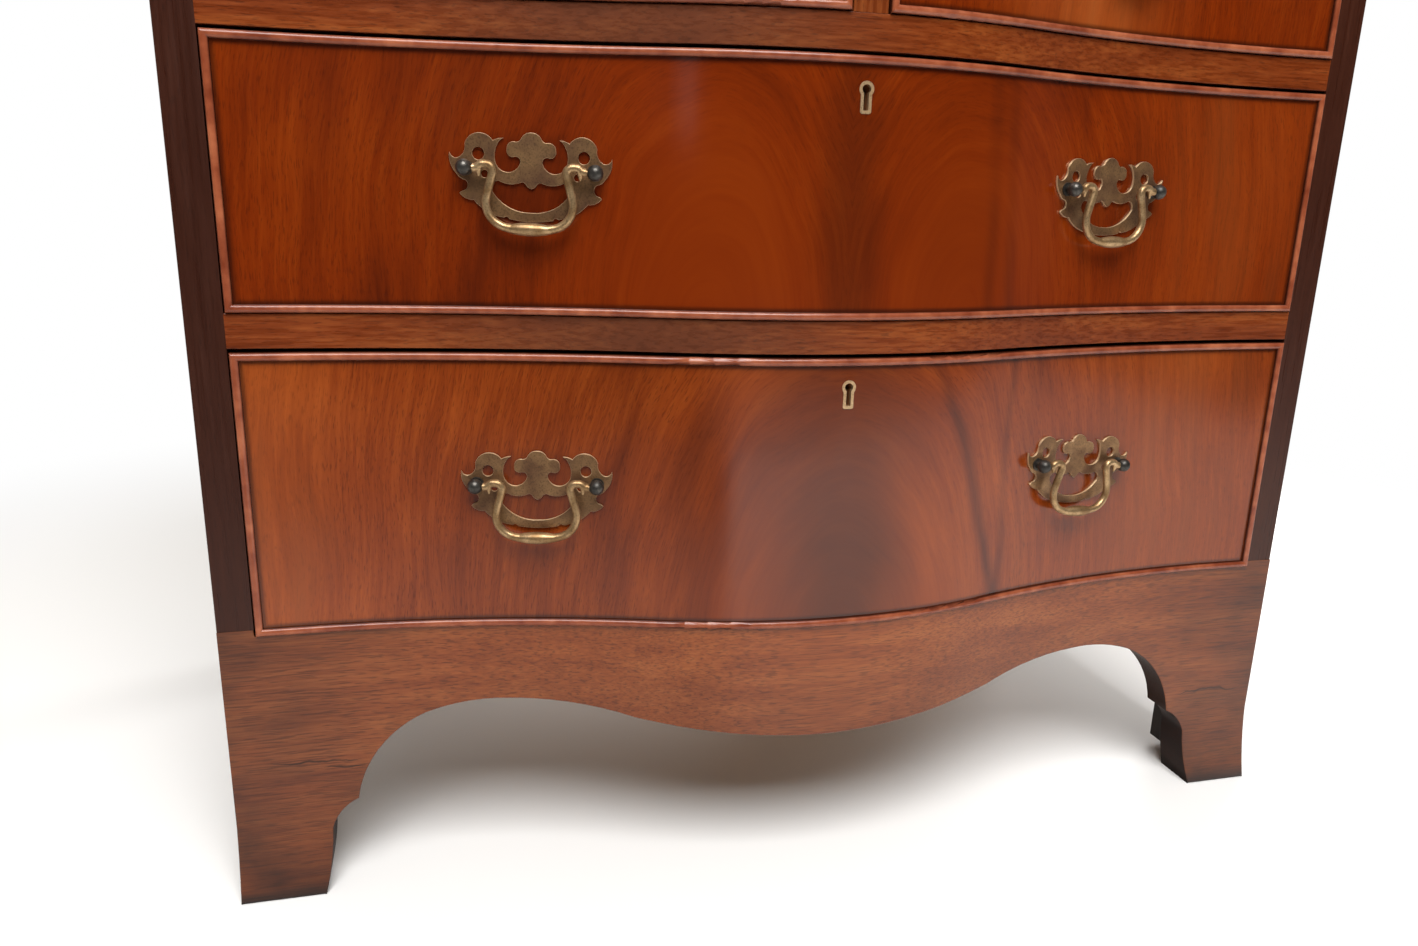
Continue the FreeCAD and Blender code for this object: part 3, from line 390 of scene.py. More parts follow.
    def raw_and_shaded_faces(self, tree: Tree, place: Socket) -> Socket:
        """A mask of the cut and inner faces, which were never polished and are darkened with painted shade.

        Args:
            tree: The material's tree.
            place: Coordinates in metres.

        Returns:
            The mask.
        """
        facing = tree.add("TexCoord", out="Normal")
        x = tree.add("SeparateXYZ", {0: facing}, "X")
        side = tree.add("SeparateXYZ", {0: place}, "X")
        outward = tree.add("Math", {0: side}, operation="SIGN")
        shown = tree.add("Math", {0: x, 1: outward}, operation="MULTIPLY")
        if self.show is Show.FRONT:
            y = tree.add("SeparateXYZ", {0: facing}, "Y")
            front = tree.add("Math", {0: y, 1: -1.0}, operation="MULTIPLY")
            shown = tree.add("Math", {0: shown, 1: front}, operation="MAXIMUM")
        return tree.add("MapRange", {0: shown, 1: 0.2, 2: 0.7, 3: self.raw_and_shade_dark, 4: 0.0})


@dataclass(frozen=True)
class Vein:
    """A dark or pale upright streak in a veneer, which leans sideways as it rises."""

    x: float
    lean: float
    width_mm: float
    strength: float
    tint: str = "#3A1408"


@dataclass(frozen=True)
class FlameVeneer:
    """Crotch mahogany veneer: upright ribbon grain that arches over to a dark feather in the middle.

    The grain follows the level lines of a distance round two points, one each side of the feather, so
    that it stands upright at the ends, turns over in arches and runs down into the feather.  The hard
    wax polish over it mirrors the floor.
    """

    name: str
    rim: tuple[float, float, float, float]
    feather_x: float = 0.0
    arch_x: float = 0.085
    arch_drop: float = 0.01
    turn_over: float = 0.55
    calm_mm: float = 110.0
    feather_mm: float = 55.0
    feather_dark: float = 0.0
    dark: str = "#571A03"
    middle: str = "#712604"
    pale: str = "#843408"
    pore: str = "#3A1206"
    plume: str = "#2A1107"
    # Colour of the old wax and painted shade under and round the handles' plates
    plate_wax_and_shade: str = "#2A0E05"
    # Colour of the old wax and painted shade in the crease along the bead
    bead_wax_and_shade: str = "#1F0B05"
    veins: tuple[Vein, ...] = ()
    handles: tuple[tuple[float, float], ...] = ()
    plate_half: tuple[float, float] = (0.046, 0.026)
    shift: float = 0.0
    sway: float = 0.024
    lift: float = 0.03
    roughness: float = 0.15

    def build(self) -> bpy.types.Material:
        """Make the material.

        Returns:
            A polished veneer with its figure laid out on one drawer front, and plain wood behind it.
        """
        material = bpy.data.materials.new(self.name)
        tree = Tree(material)
        place = tree.add("TexCoord", out="Object")
        x = tree.add("SeparateXYZ", {0: place}, "X")
        z = tree.add("SeparateXYZ", {0: place}, "Z")
        lifted = stretched(tree, place, (75, 400, 75), 1.0, self.shift + 17.0)
        height = tree.add("Math", {0: lifted, 1: self.lift, 2: z}, operation="MULTIPLY_ADD")
        rise = tree.add("Math", {0: height, 1: self.arch_drop - self.rim[2] - self.lift / 2},
                        operation="ADD")
        wander = stretched(tree, place, (80, 400, 170), 2.0, self.shift)
        swayed = tree.add("Math", {0: wander, 1: self.sway, 2: x}, operation="MULTIPLY_ADD")
        off = tree.add("Math", {0: swayed, 1: self.feather_x + self.sway / 2}, operation="SUBTRACT")
        out = tree.add("Math", {0: off}, operation="ABSOLUTE")
        fibre = self.fibre(tree, out, rise, x)
        broad = stretched(tree, fibre, (26, 150, 130), 2.0, self.shift + 2.0)
        streak = stretched(tree, fibre, (5.0, 90, 70), 3.0, self.shift + 5.0)
        thread = stretched(tree, fibre, (1.5, 30, 26), 3.0, self.shift + 8.0)
        patch = stretched(tree, place, (130, 130, 90), 1.0, self.shift + 11.0)
        tone = broad
        for share, layer in ((0.5, streak), (0.3, thread), (0.26, patch)):
            tone = tree.add("Mix", {0: share, 2: tone, 3: layer})
        # The grain goes quiet near the middle of the arches
        ring = tree.add("SeparateXYZ", {0: fibre}, "X")
        calm = tree.add("MapRange", {0: ring, 1: self.calm_mm * MM * 0.3, 2: self.calm_mm * MM,
                                     3: 0.75, 4: 0.0})
        tone = tree.add("Mix", {0: calm, 2: tone, 3: 0.53})
        wood = tree.add("ValToRGB", {0: tone},
                        stops=((0.34, self.dark), (0.66, self.pale), (0.5, self.middle)))
        pores = stretched(tree, fibre, (0.6, 6.5, 6.5), 1.0, self.shift + 14.0)
        depth = tree.add("MapRange", {0: calm, 1: 0.0, 2: 0.6, 3: 0.42, 4: 0.0})
        open_pore = tree.add("MapRange", {0: pores, 1: 0.3, 2: 0.44, 3: depth, 4: 0.0})
        colour = stain(tree, wood, open_pore, self.pore)
        if self.feather_dark:
            colour = stain(tree, colour, self.feather(tree, out, rise, broad), self.plume)
        for vein in self.veins:
            colour = stain(tree, colour, self.vein(tree, vein, swayed, rise, broad), vein.tint)
        for handle in self.handles:
            # Old wax and painted shade under and round each handle's plate
            colour = stain(tree, colour, self.wax_and_shade_round_plate(tree, x, z, handle), self.plate_wax_and_shade)
        # Old wax and painted shade in the crease along the bead
        colour = stain(tree, colour, self.wax_and_crease_shade(tree, x, z), self.bead_wax_and_shade)
        # Behind the veneer the front is plain, dry wood
        facing = tree.add("TexCoord", out="Normal")
        front = tree.add("SeparateXYZ", {0: facing}, "Y")
        behind = tree.add("MapRange", {0: front, 1: -0.6, 2: -0.3, 3: 0.0, 4: 1.0})
        grain = stretched(tree, place, (150, 150, 3), 3.0, 31.0)
        plain = tree.add("ValToRGB", {0: grain}, stops=((0.3, "#6F4426"), (0.7, "#93633C")))
        colour = tree.add("Mix", {0: behind, 6: colour, 7: plain}, 2, data_type="RGBA")
        gloss = tree.add("MapRange", {0: behind, 1: 0.0, 2: 1.0, 3: self.roughness, 4: 0.6})
        normal = tree.add("Bump", {"Height": streak, "Distance": 0.04 * MM, "Strength": 0.25})
        shader = tree.add("BsdfPrincipled", {"Base Color": colour, "Roughness": gloss,
                                             "Normal": normal, "IOR": 1.5})
        tree.add("OutputMaterial", {"Surface": shader})
        return material

    def fibre(self, tree: Tree, out: Socket, rise: Socket, x: Socket) -> Socket:
        """Coordinates with the grain's arches laid straight: across the grain, up, and across the front.

        Args:
            tree: The material's tree.
            out: Distance from the feather's line.
            rise: Height above the middle of the arches.
            x: Distance across the front.

        Returns:
            The coordinates.
        """
        beside = tree.add("Math", {0: out, 1: self.arch_x}, operation="SUBTRACT")
        beside_2 = tree.add("Math", {0: beside, 1: beside}, operation="MULTIPLY")
        flat = tree.add("Math", {0: rise, 1: self.turn_over}, operation="MULTIPLY")
        ring_2 = tree.add("Math", {0: flat, 1: flat, 2: beside_2}, operation="MULTIPLY_ADD")
        ring = tree.add("Math", {0: ring_2, 1: 0.5}, operation="POWER")
        return tree.add("CombineXYZ", {0: ring, 1: rise, 2: x})

    def feather(self, tree: Tree, out: Socket, rise: Socket, broad: Socket) -> Socket:
        """A mask of the dark plume, which darkens downwards and has ragged sides.

        Args:
            tree: The material's tree.
            out: Distance from the feather's line.
            rise: Height above the middle of the arches.
            broad: The broad figure of the grain.

        Returns:
            The mask.
        """
        tatter, top_share = 0.036, 0.55
        ragged = tree.add("Math", {0: broad, 1: tatter, 2: -tatter / 2}, operation="MULTIPLY_ADD")
        edge = tree.add("Math", {0: out, 1: ragged}, operation="ADD")
        reach = self.feather_mm * MM
        near = tree.add("MapRange", {0: edge, 1: reach * 0.1, 2: reach, 3: self.feather_dark,
                                     4: 0.0}, interpolation_type="SMOOTHSTEP")
        depth = self.rim[3] - self.rim[2]
        low = tree.add("MapRange", {0: rise, 1: depth * 0.6, 2: depth * 1.3, 3: 1.0, 4: top_share})
        return tree.add("Math", {0: near, 1: low}, operation="MULTIPLY")

    def vein(self, tree: Tree, vein: Vein, x: Socket, rise: Socket, broad: Socket) -> Socket:
        """A mask of one streak.

        Args:
            tree: The material's tree.
            vein: Where the streak stands.
            x: Distance across the front, swaying a little.
            rise: Height above the middle of the arches.
            broad: The broad figure, which makes the streak uneven.

        Returns:
            The mask.
        """
        leant = tree.add("Math", {0: rise, 1: -vein.lean, 2: x}, operation="MULTIPLY_ADD")
        off = tree.add("Math", {0: leant, 1: vein.x + self.sway / 2}, operation="SUBTRACT")
        away = tree.add("Math", {0: off}, operation="ABSOLUTE")
        line = tree.add("MapRange", {0: away, 1: 0.0, 2: vein.width_mm * MM, 3: vein.strength,
                                     4: 0.0}, interpolation_type="SMOOTHSTEP")
        uneven = tree.add("MapRange", {0: broad, 1: 0.3, 2: 0.6, 3: 1.0, 4: 0.4})
        return tree.add("Math", {0: line, 1: uneven}, operation="MULTIPLY")

    def wax_and_shade_round_plate(self, tree: Tree, x: Socket, z: Socket, middle: tuple[float, float]) -> Socket:
        """A mask of old wax, where no cloth reaches, and painted shade under and round a handle's plate.

        Args:
            tree: The material's tree.
            x: Distance across the front.
            z: Height.
            middle: The plate's middle.

        Returns:
            The mask.
        """
        square = 0.0
        for axis, centre, half in zip((x, z), middle, self.plate_half):
            off = tree.add("Math", {0: axis, 1: 1 / half, 2: -centre / half}, operation="MULTIPLY_ADD")
            square = tree.add("Math", {0: off, 1: off, 2: square}, operation="MULTIPLY_ADD")
        return tree.add("MapRange", {0: square, 1: 0.6, 2: 1.25, 3: 0.25, 4: 0.0},
                        interpolation_type="SMOOTHSTEP")

    def wax_and_crease_shade(self, tree: Tree, x: Socket, z: Socket) -> Socket:
        """A mask of the old wax along the bead, with painted shade in the crease beside it.

        Args:
            tree: The material's tree.
            x: Distance across the front.
            z: Height.

        Returns:
            The mask.
        """
        full_mm, clear_mm = 0.6, 3.6
        left, right, low, high = self.rim
        gaps = [tree.add("Math", {0: side, 1: sign, 2: -sign * edge}, operation="MULTIPLY_ADD")
                for side, sign, edge in ((x, 1, left), (x, -1, right), (z, 1, low), (z, -1, high))]
        inset = gaps[0]
        for gap in gaps[1:]:
            inset = tree.add("Math", {0: inset, 1: gap}, operation="MINIMUM")
        return tree.add("MapRange", {0: inset, 1: full_mm * MM, 2: clear_mm * MM, 3: 0.62, 4: 0.0},
                        interpolation_type="SMOOTHSTEP")


@dataclass(frozen=True)
class Bead:
    """Rounded mahogany bead, with painted shade on its sides where they turn away from the front."""

    name: str
    dark: str
    middle: str
    pale: str
    # Colour of the painted shade on the bead's sides
    wax: str
    roughness: float

    def build(self) -> bpy.types.Material:
        """Make the material.

        Returns:
            A flecked wood with painted shade wherever it turns away from the front.
        """
        material = bpy.data.materials.new(self.name)
        tree = Tree(material)
        place = tree.add("TexCoord", out="Object")
        facing = tree.add("TexCoord", out="Normal")
        fibre = stretched(tree, place, (28, 28, 28), 5.0, 4.0)
        fleck = stretched(tree, place, (9, 9, 9), 3.0, 9.0)
        tone = tree.add("Mix", {0: 0.4, 2: fibre, 3: fleck})
        wood = tree.add("ValToRGB", {0: tone},
                        stops=((0.36, self.dark), (0.64, self.pale), (0.5, self.middle)))
        # Painted shade: the bead darkens as its surface turns away from the front
        front = tree.add("SeparateXYZ", {0: facing}, "Y")
        side = tree.add("MapRange", {0: front, 1: -0.75, 2: -0.25, 3: 0.0, 4: 0.9})
        colour = stain(tree, wood, side, self.wax)
        shader = tree.add("BsdfPrincipled", {"Base Color": colour, "Roughness": self.roughness})
        tree.add("OutputMaterial", {"Surface": shader})
        return material


@dataclass(frozen=True)
class AgedMetal:
    """Cast or pressed metal with a patina that is cloudy, pitted and worn through in places."""

    name: str
    patina: str
    metal: str
    dirt: str
    metallic: float
    roughness: float
    cloud_mm: float = 9.0
    pit_mm: float = 1.1
    pit_dirt: float = 0.45
    bump_mm: float = 0.06
    # Colour of a painted highlight on the faces that turn away from the front; empty for none
    edge: str = ""
    dents_mm: float = 0.0
    dent_size_mm: float = 11.0

    def build(self) -> bpy.types.Material:
        """Make the material.

        Returns:
            A metal with a painted highlight on the faces that turn away from the front, where an edge colour
            is given.
        """
        material = bpy.data.materials.new(self.name)
        tree = Tree(material)
        place = tree.add("TexCoord", out="Object")
        cloud = stretched(tree, place, [self.cloud_mm] * 3, 5.0, 2.0)
        pits = stretched(tree, place, [self.pit_mm] * 3, 3.0, 6.0)
        colour = tree.add("ValToRGB", {0: cloud}, stops=((0.34, self.patina), (0.7, self.metal)))
        pitted = tree.add("MapRange", {0: pits, 1: 0.34, 2: 0.5, 3: self.pit_dirt, 4: 0.0})
        colour = stain(tree, colour, pitted, self.dirt)
        if self.edge:
            facing = tree.add("TexCoord", out="Normal")
            front = tree.add("SeparateXYZ", {0: facing}, "Y")
            # Painted highlight: faces that turn away from the front, such as edges and side walls, are
            # lightened
            painted_edge_highlight = tree.add("MapRange", {0: front, 1: -0.92, 2: -0.55, 3: 0.0, 4: 0.9})
            colour = stain(tree, colour, painted_edge_highlight, self.edge)
        gloss = tree.add("MapRange", {0: cloud, 1: 0.35, 2: 0.7, 3: self.roughness + 0.1,
                                      4: self.roughness - 0.06})
        normal = tree.add("Bump", {"Height": pits, "Distance": self.bump_mm * MM, "Strength": 0.4})
        if self.dents_mm:
            dents = stretched(tree, place, [self.dent_size_mm] * 3, 0.0, 21.0)
            normal = tree.add("Bump", {"Height": dents, "Distance": self.dents_mm * MM,
                                       "Strength": 1.0, "Normal": normal})
        shader = tree.add("BsdfPrincipled", {"Base Color": colour, "Roughness": gloss,
                                             "Metallic": self.metallic, "Normal": normal})
        tree.add("OutputMaterial", {"Surface": shader})
        return material


def shared_finishes() -> tuple[Sawn | Bead | AgedMetal, ...]:
    """The finishes that more than one piece may have.

    Returns:
        The finishes, none of them built yet.
    """
    cracks = (Crack(-0.374, -0.312, 0.095), Crack(-0.338, -0.310, 0.090), Crack(0.322, 0.388, 0.080))
    # Drawer linings in bare oak: long open pores on a pale dry surface
    oak = Sawn("bare_oak_deep", Grain.DEEP, "#A37E52", "#BC9768", "#CFAE80", "#7A5A36", roughness=0.62,
               pore_mm=(0.9, 22.0))
    # Hidden case wood in bare pine: broad soft growth bands, browned by age
    pine = Sawn("bare_pine_upright", Grain.UPRIGHT, "#75502E", "#8C643C", "#A07A4D", "#5E3F22",
                figure_mm=(20.0, 420.0), streak_mm=(4.0, 240.0), pore_share=0.3, roughness=0.7)
    return (
        # Apron in straight mahogany, waxed: fine flecks, a dull sheen, drying cracks and scuffed feet
        Sawn("waxed_apron_mahogany", Grain.ACROSS, "#6E3112", "#87441C", "#9A5629", "#421D0C",
             streak_mm=(1.4, 32.0), pore_mm=(0.8, 17.0), pore_share=0.46, show=Show.FRONT, foot_wear=0.9,
             cracks=cracks),
        # Rails in straight mahogany, waxed: smoother, redder, and dull along one stretch
        Sawn("waxed_rail_mahogany", Grain.ACROSS, "#5B230A", "#753311", "#924B1E", "#361508",
             streak_mm=(1.9, 30.0), roughness=0.28, shine=0.3, bump_mm=0.08, dull_x=-0.13),
        # Divider in the same wood, with upright grain
        Sawn("waxed_divider_mahogany", Grain.UPRIGHT, "#54210A", "#6B2F10", "#88471D", "#361508",
             roughness=0.28, shine=0.3, bump_mm=0.08),
        # Side bases in waxed mahogany: darker than the apron, with the same scuffed feet
        Sawn("waxed_base_mahogany", Grain.DEEP, "#5F2B14", "#733A1B", "#844924", "#3A190B",
             show=Show.OUTER, foot_wear=0.9),
        # Case sides, darkened by old wax, and nearly black where the stiles face forward
        Sawn("dark_side_mahogany", Grain.UPRIGHT, "#3F1C10", "#542817", "#673620", "#240E07",
             figure_mm=(30.0, 420.0), roughness=0.3, shine=0.32, bump_mm=0.08, front_dark=0.75),
        # Top, french polished: wide figure under a hard gloss
        Sawn("polished_top_mahogany", Grain.ACROSS, "#5A270F", "#763717", "#8B4722", "#371507",
             figure_mm=(32.0, 520.0), roughness=0.2, bump_mm=0.08),
        oak,
        replace(oak, name="bare_oak_across", grain=Grain.ACROSS),
        pine,
        replace(pine, name="bare_pine_across", grain=Grain.ACROSS),
        replace(pine, name="bare_pine_deep", grain=Grain.DEEP),
        # Rear brackets: pine stained to pass for mahogany, and dull with dust
        Sawn("stained_bracket_pine", Grain.UPRIGHT, "#2E1B11", "#40281A", "#523724", "#1F120B",
             roughness=0.65),
        # Glue blocks: pine dark with dust and old glue, and nearly black with painted shade
        Sawn("sooty_block_pine", Grain.UPRIGHT, "#150D09", "#22160F", "#2F2017", "#0C0705", roughness=0.75),
        # Cock beads in waxed mahogany: a pale, shiny crest between sides darkened with painted shade
        Bead("waxed_bead_mahogany", "#74321A", "#8E482C", "#A85F3E", wax="#2E0F07", roughness=0.26),
        # Handle plates: pressed brass gone brown, with a painted highlight on their edges and side walls
        AgedMetal("brown_plate_brass", "#684932", "#9A7650", "#38261A", 0.6, 0.34, cloud_mm=14.0,
                  edge="#E6C79C", dents_mm=0.5),
        # Bails: cast brass kept bright by hands
        AgedMetal("handled_bail_brass", "#8C6C46", "#C6A67C", "#55402A", 0.75, 0.34),
        # Ball posts: bronze gone nearly black
        AgedMetal("dark_post_bronze", "#3A3835", "#5C5852", "#1C1917", 0.75, 0.36),
        # Escutcheons: thin thread brass, rubbed pale by keys and cloths
        AgedMetal("bright_thread_brass", "#C9A67C", "#E8C79B", "#6B4A30", 0.75, 0.34),
        # Lock cases: sheet brass that nobody polishes, dull and yellow
        AgedMetal("dull_lock_brass", "#8C7040", "#B09458", "#4B3A20", 0.9, 0.36),
        # Bolts and screws: mild steel, brushed and slightly grey
        AgedMetal("grey_bolt_steel", "#77787A", "#9A9B9D", "#3C3734", 1.0, 0.34),
        # Nails: wrought iron under a rough brown rust
        AgedMetal("rusty_nail_iron", "#3A2A22", "#5B4030", "#1C120D", 0.6, 0.6, cloud_mm=2.0),
    )


class Workshop:
    """The loaded frame, and the finishes that are shared between the pieces."""

    def __init__(self, frame: dict) -> None:
        """Keep the frame and make the shared finishes.
        """
        self.nodes = frame["nodes"]
        behaviour = frame["record"]["behaviour"]
        self.joints = {joint["name"]: joint for joint in behaviour["joints"]}
        self.body_of = {node: body for body, members in behaviour["bodies"].items() for node in members}
        self.slot_of = {name: node.material_slots[0].name for name, node in self.nodes.items()}
        self.finish = {finish.name: finish.build() for finish in shared_finishes()}

    def dress(self, node: str, finish: bpy.types.Material | str) -> None:
        """Give a CAD node its finish.

        Args:
            node: The node's name.
            finish: The finish, by name or as a material.
        """
        material = self.finish[finish] if isinstance(finish, str) else finish
        self.nodes[node].material_slots[0].material = material
        LOG.info("dressed %s in %s", node, material.name)

    def soften(self, node: str, finish: str, *rounds: tuple[float, EdgeTest]) -> None:
        """Stand a merged copy with softened arrises in place of a CAD node, riding with its body.

        Args:
            node: The node's name.
            finish: The finish's name.
            rounds: Widths in millimetres, each with a test that tells from an edge's middle and the
                normals beside it whether it is softened.
        """
        merge_mm = 0.002
        flat, arris, smooth = (math.radians(angle) for angle in (0.4, 35, 50))
        piece = bpy.data.objects.new(f"{node}_softened", self.nodes[node].data.copy())
        bpy.context.scene.collection.objects.link(piece)
        piece.data.materials.clear()
        piece.data.materials.append(self.finish[finish])
        select_only(piece)
        bpy.ops.mesh.customdata_custom_splitnormals_clear()
        bpy.ops.object.mode_set(mode="EDIT")
        bpy.ops.mesh.select_mode(type="EDGE")
        bpy.ops.mesh.select_all(action="SELECT")
        bpy.ops.mesh.remove_doubles(threshold=merge_mm * MM)
        bpy.ops.mesh.dissolve_limited(angle_limit=flat)
        for width_mm, wanted in rounds:
            bpy.ops.mesh.select_all(action="DESELECT")
            mesh = bmesh.from_edit_mesh(piece.data)
            for edge in mesh.edges:
                if len(edge.link_faces) == 2 and edge.calc_face_angle(0.0) > arris:
                    middle = (edge.verts[0].co + edge.verts[1].co) / 2
                    edge.select_set(wanted(middle, *(face.normal for face in edge.link_faces)))
            bmesh.update_edit_mesh(piece.data)
            bpy.ops.mesh.bevel(offset=width_mm * MM, segments=2, affect="EDGES", clamp_overlap=False)
        bpy.ops.object.mode_set(mode="OBJECT")
        bpy.ops.object.shade_smooth_by_angle(angle=smooth)
        bpy.ops.object.modifier_add(type="WEIGHTED_NORMAL")
        piece.modifiers[-1].keep_sharp = True
        bpy.ops.object.modifier_apply(modifier=piece.modifiers[-1].name)
        self.attach(piece, node)
        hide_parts(node)
        LOG.info("softened %s: %d faces", node, len(piece.data.polygons))

    def attach(self, piece: bpy.types.Object, node: str, slot: str = "") -> None:
        """Let a new piece ride with a node's body.

        Args:
            piece: The new piece.
            node: The node whose body it belongs to.
            slot: Not used.
        """
        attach(piece, self.body_of[node])


def select_only(*pieces: bpy.types.Object) -> None:
    """Select these pieces alone, and make the first one active.

    Args:
        pieces: The pieces.
    """
    bpy.ops.object.select_all(action="DESELECT")
    for piece in pieces:
        piece.select_set(True)
    bpy.context.view_layer.objects.active = pieces[0]


def outward(middle: Vector, *normals: Vector) -> list[float]:
    """How far normals point away from the chest's middle plane, on the side where an edge lies."""
    return [normal.x * math.copysign(1.0, middle.x) for normal in normals]


def front_arris(middle: Vector, first: Vector, second: Vector) -> bool:
    """Whether an edge borders a front face, and lies neither on top nor on a mitre or a back face."""
    return (min(first.y, second.y) < -LOOKS and max(first.y, second.y) < LEANS
            and max(first.z, second.z) < UPWARD and middle.z > FLOOR_EDGE)


def front_foot_arris(middle: Vector, first: Vector, second: Vector) -> bool:
    """Whether an edge is where the front of a foot meets the floor."""
    return min(first.y, second.y) < -LOOKS and min(first.z, second.z) < -LOOKS and middle.z < FLOOR_EDGE


def outer_arris(middle: Vector, first: Vector, second: Vector) -> bool:
    """Whether an edge borders an outer side face, and lies neither on top nor on a mitre."""
    sides = outward(middle, first, second)
    return (max(sides) > LOOKS and min(sides) > -LEANS and max(first.z, second.z) < UPWARD
            and middle.z > FLOOR_EDGE)


def outer_foot_arris(middle: Vector, first: Vector, second: Vector) -> bool:
    """Whether an edge is where the outer side of a foot meets the floor."""
    return (max(outward(middle, first, second)) > LOOKS and min(first.z, second.z) < -LOOKS
            and middle.z < FLOOR_EDGE)


def stile_arris(middle: Vector, first: Vector, second: Vector) -> bool:
    """Whether an edge is the outer front corner of a case side."""
    return min(first.y, second.y) < -LOOKS and max(outward(middle, first, second)) > LOOKS


def rail_arris(_middle: Vector, first: Vector, second: Vector) -> bool:
    """Whether an edge runs between a rail's front and its top or underside."""
    return min(first.y, second.y) < -LOOKS and max(abs(first.z), abs(second.z)) > LOOKS


def upright_arris(_middle: Vector, first: Vector, second: Vector) -> bool:
    """Whether an edge runs up between a front and a side face."""
    return min(first.y, second.y) < -LOOKS and max(abs(first.x), abs(second.x)) > LOOKS


def top_arris(height: float) -> EdgeTest:
    """Make a test for the edges along the top of a board.

    Args:
        height: Height of the board's top.

    Returns:
        A test that is true for the long edges at this height.
    """
    slack_mm, upright = 0.2, 0.1

    def on_top(middle: Vector, first: Vector, second: Vector) -> bool:
        """Whether an edge lies between the board's top and an upright face."""
        return middle.z > height - slack_mm * MM and min(abs(first.z), abs(second.z)) < upright
    return on_top


def back_seam(_middle: Vector, first: Vector, second: Vector) -> bool:
    """Whether an edge runs up the outer side of a back board."""
    return max(first.y, second.y) > SQUARE_ON and max(abs(first.x), abs(second.x)) > SQUARE_ON


def plate_arris(_middle: Vector, first: Vector, second: Vector) -> bool:
    """Whether an edge is on the outline of a plate's front."""
    return min(first.y, second.y) < -0.8 and max(first.y, second.y) > -LOOKS


@dataclass
class Case:
    """The carcase: sides, rails, apron, feet, top, back and what is inside it."""

    shop: Workshop
    arris_mm: float = 1.0
    foot_arris_mm: float = 2.5
    rail_arris_mm: float = 0.6
    seam_mm: float = 0.8
    back_boards: int = 4
    nail_shares: tuple[float, float] = (0.16, 0.84)
    nail_inset_mm: float = 9.0

    def build(self) -> None:
        """Dress every piece of the case, and nail on its back."""
        shop = self.shop
        for node, finish in (("top_board", "polished_top_mahogany"), ("case_bottom", "bare_pine_across"),
                             ("drawer_runners", "bare_pine_deep"), ("drawer_stops", "bare_pine_across"),
                             ("rear_foot_brackets", "stained_bracket_pine"),
                             ("foot_blocks", "sooty_block_pine")):
            shop.dress(node, finish)
        shop.soften("front_apron", "waxed_apron_mahogany", (self.arris_mm, front_arris),
                    (self.foot_arris_mm, front_foot_arris))
        shop.soften("side_bases", "waxed_base_mahogany", (self.arris_mm, outer_arris),
                    (self.foot_arris_mm, outer_foot_arris))
        for side in ("left", "right"):
            shop.soften(f"{side}_case_side", "dark_side_mahogany", (self.arris_mm, stile_arris))
        for node in ("top_rail", "drawer_rails"):
            shop.soften(node, "waxed_rail_mahogany", (self.rail_arris_mm, rail_arris))
        shop.soften("short_drawer_divider", "waxed_divider_mahogany", (self.rail_arris_mm, upright_arris))
        shop.soften("back_boards", "bare_pine_upright", (self.seam_mm, back_seam))
        self.nails()

    def nails(self) -> None:
        """Clout nails through the ends of the back boards."""
        low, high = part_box("back_boards")
        step = (high.x - low.x) / self.back_boards
        inset = self.nail_inset_mm * MM
        heads = [nail_head((low.x + step * (board + share), BACK_Y, z))
                 for board in range(self.back_boards) for share in self.nail_shares
                 for z in (low.z + inset, high.z - inset)]
        self.shop.attach(joined(heads, "back_nails", self.shop.finish["rusty_nail_iron"]), "back_boards",
                         "bolt_steel")


def nail_head(place: Sequence[float]) -> bpy.types.Object:
    """A low domed nail head whose shank would run towards the front.

    Args:
        place: Where its rim lies on the wood.

    Returns:
        The head.
    """
    radius, rise = 2.6 * MM, 0.9 * MM
    bpy.ops.object.select_all(action="DESELECT")
    bpy.ops.mesh.primitive_uv_sphere_add(segments=16, ring_count=8, radius=radius, location=(0, 0, 0))
    head = bpy.context.object
    bpy.ops.object.mode_set(mode="EDIT")
    bpy.ops.mesh.select_all(action="SELECT")
    bpy.ops.transform.resize(value=(1.0, rise / radius, 1.0))
    bpy.ops.transform.translate(value=place)
    bpy.ops.object.mode_set(mode="OBJECT")
    return head


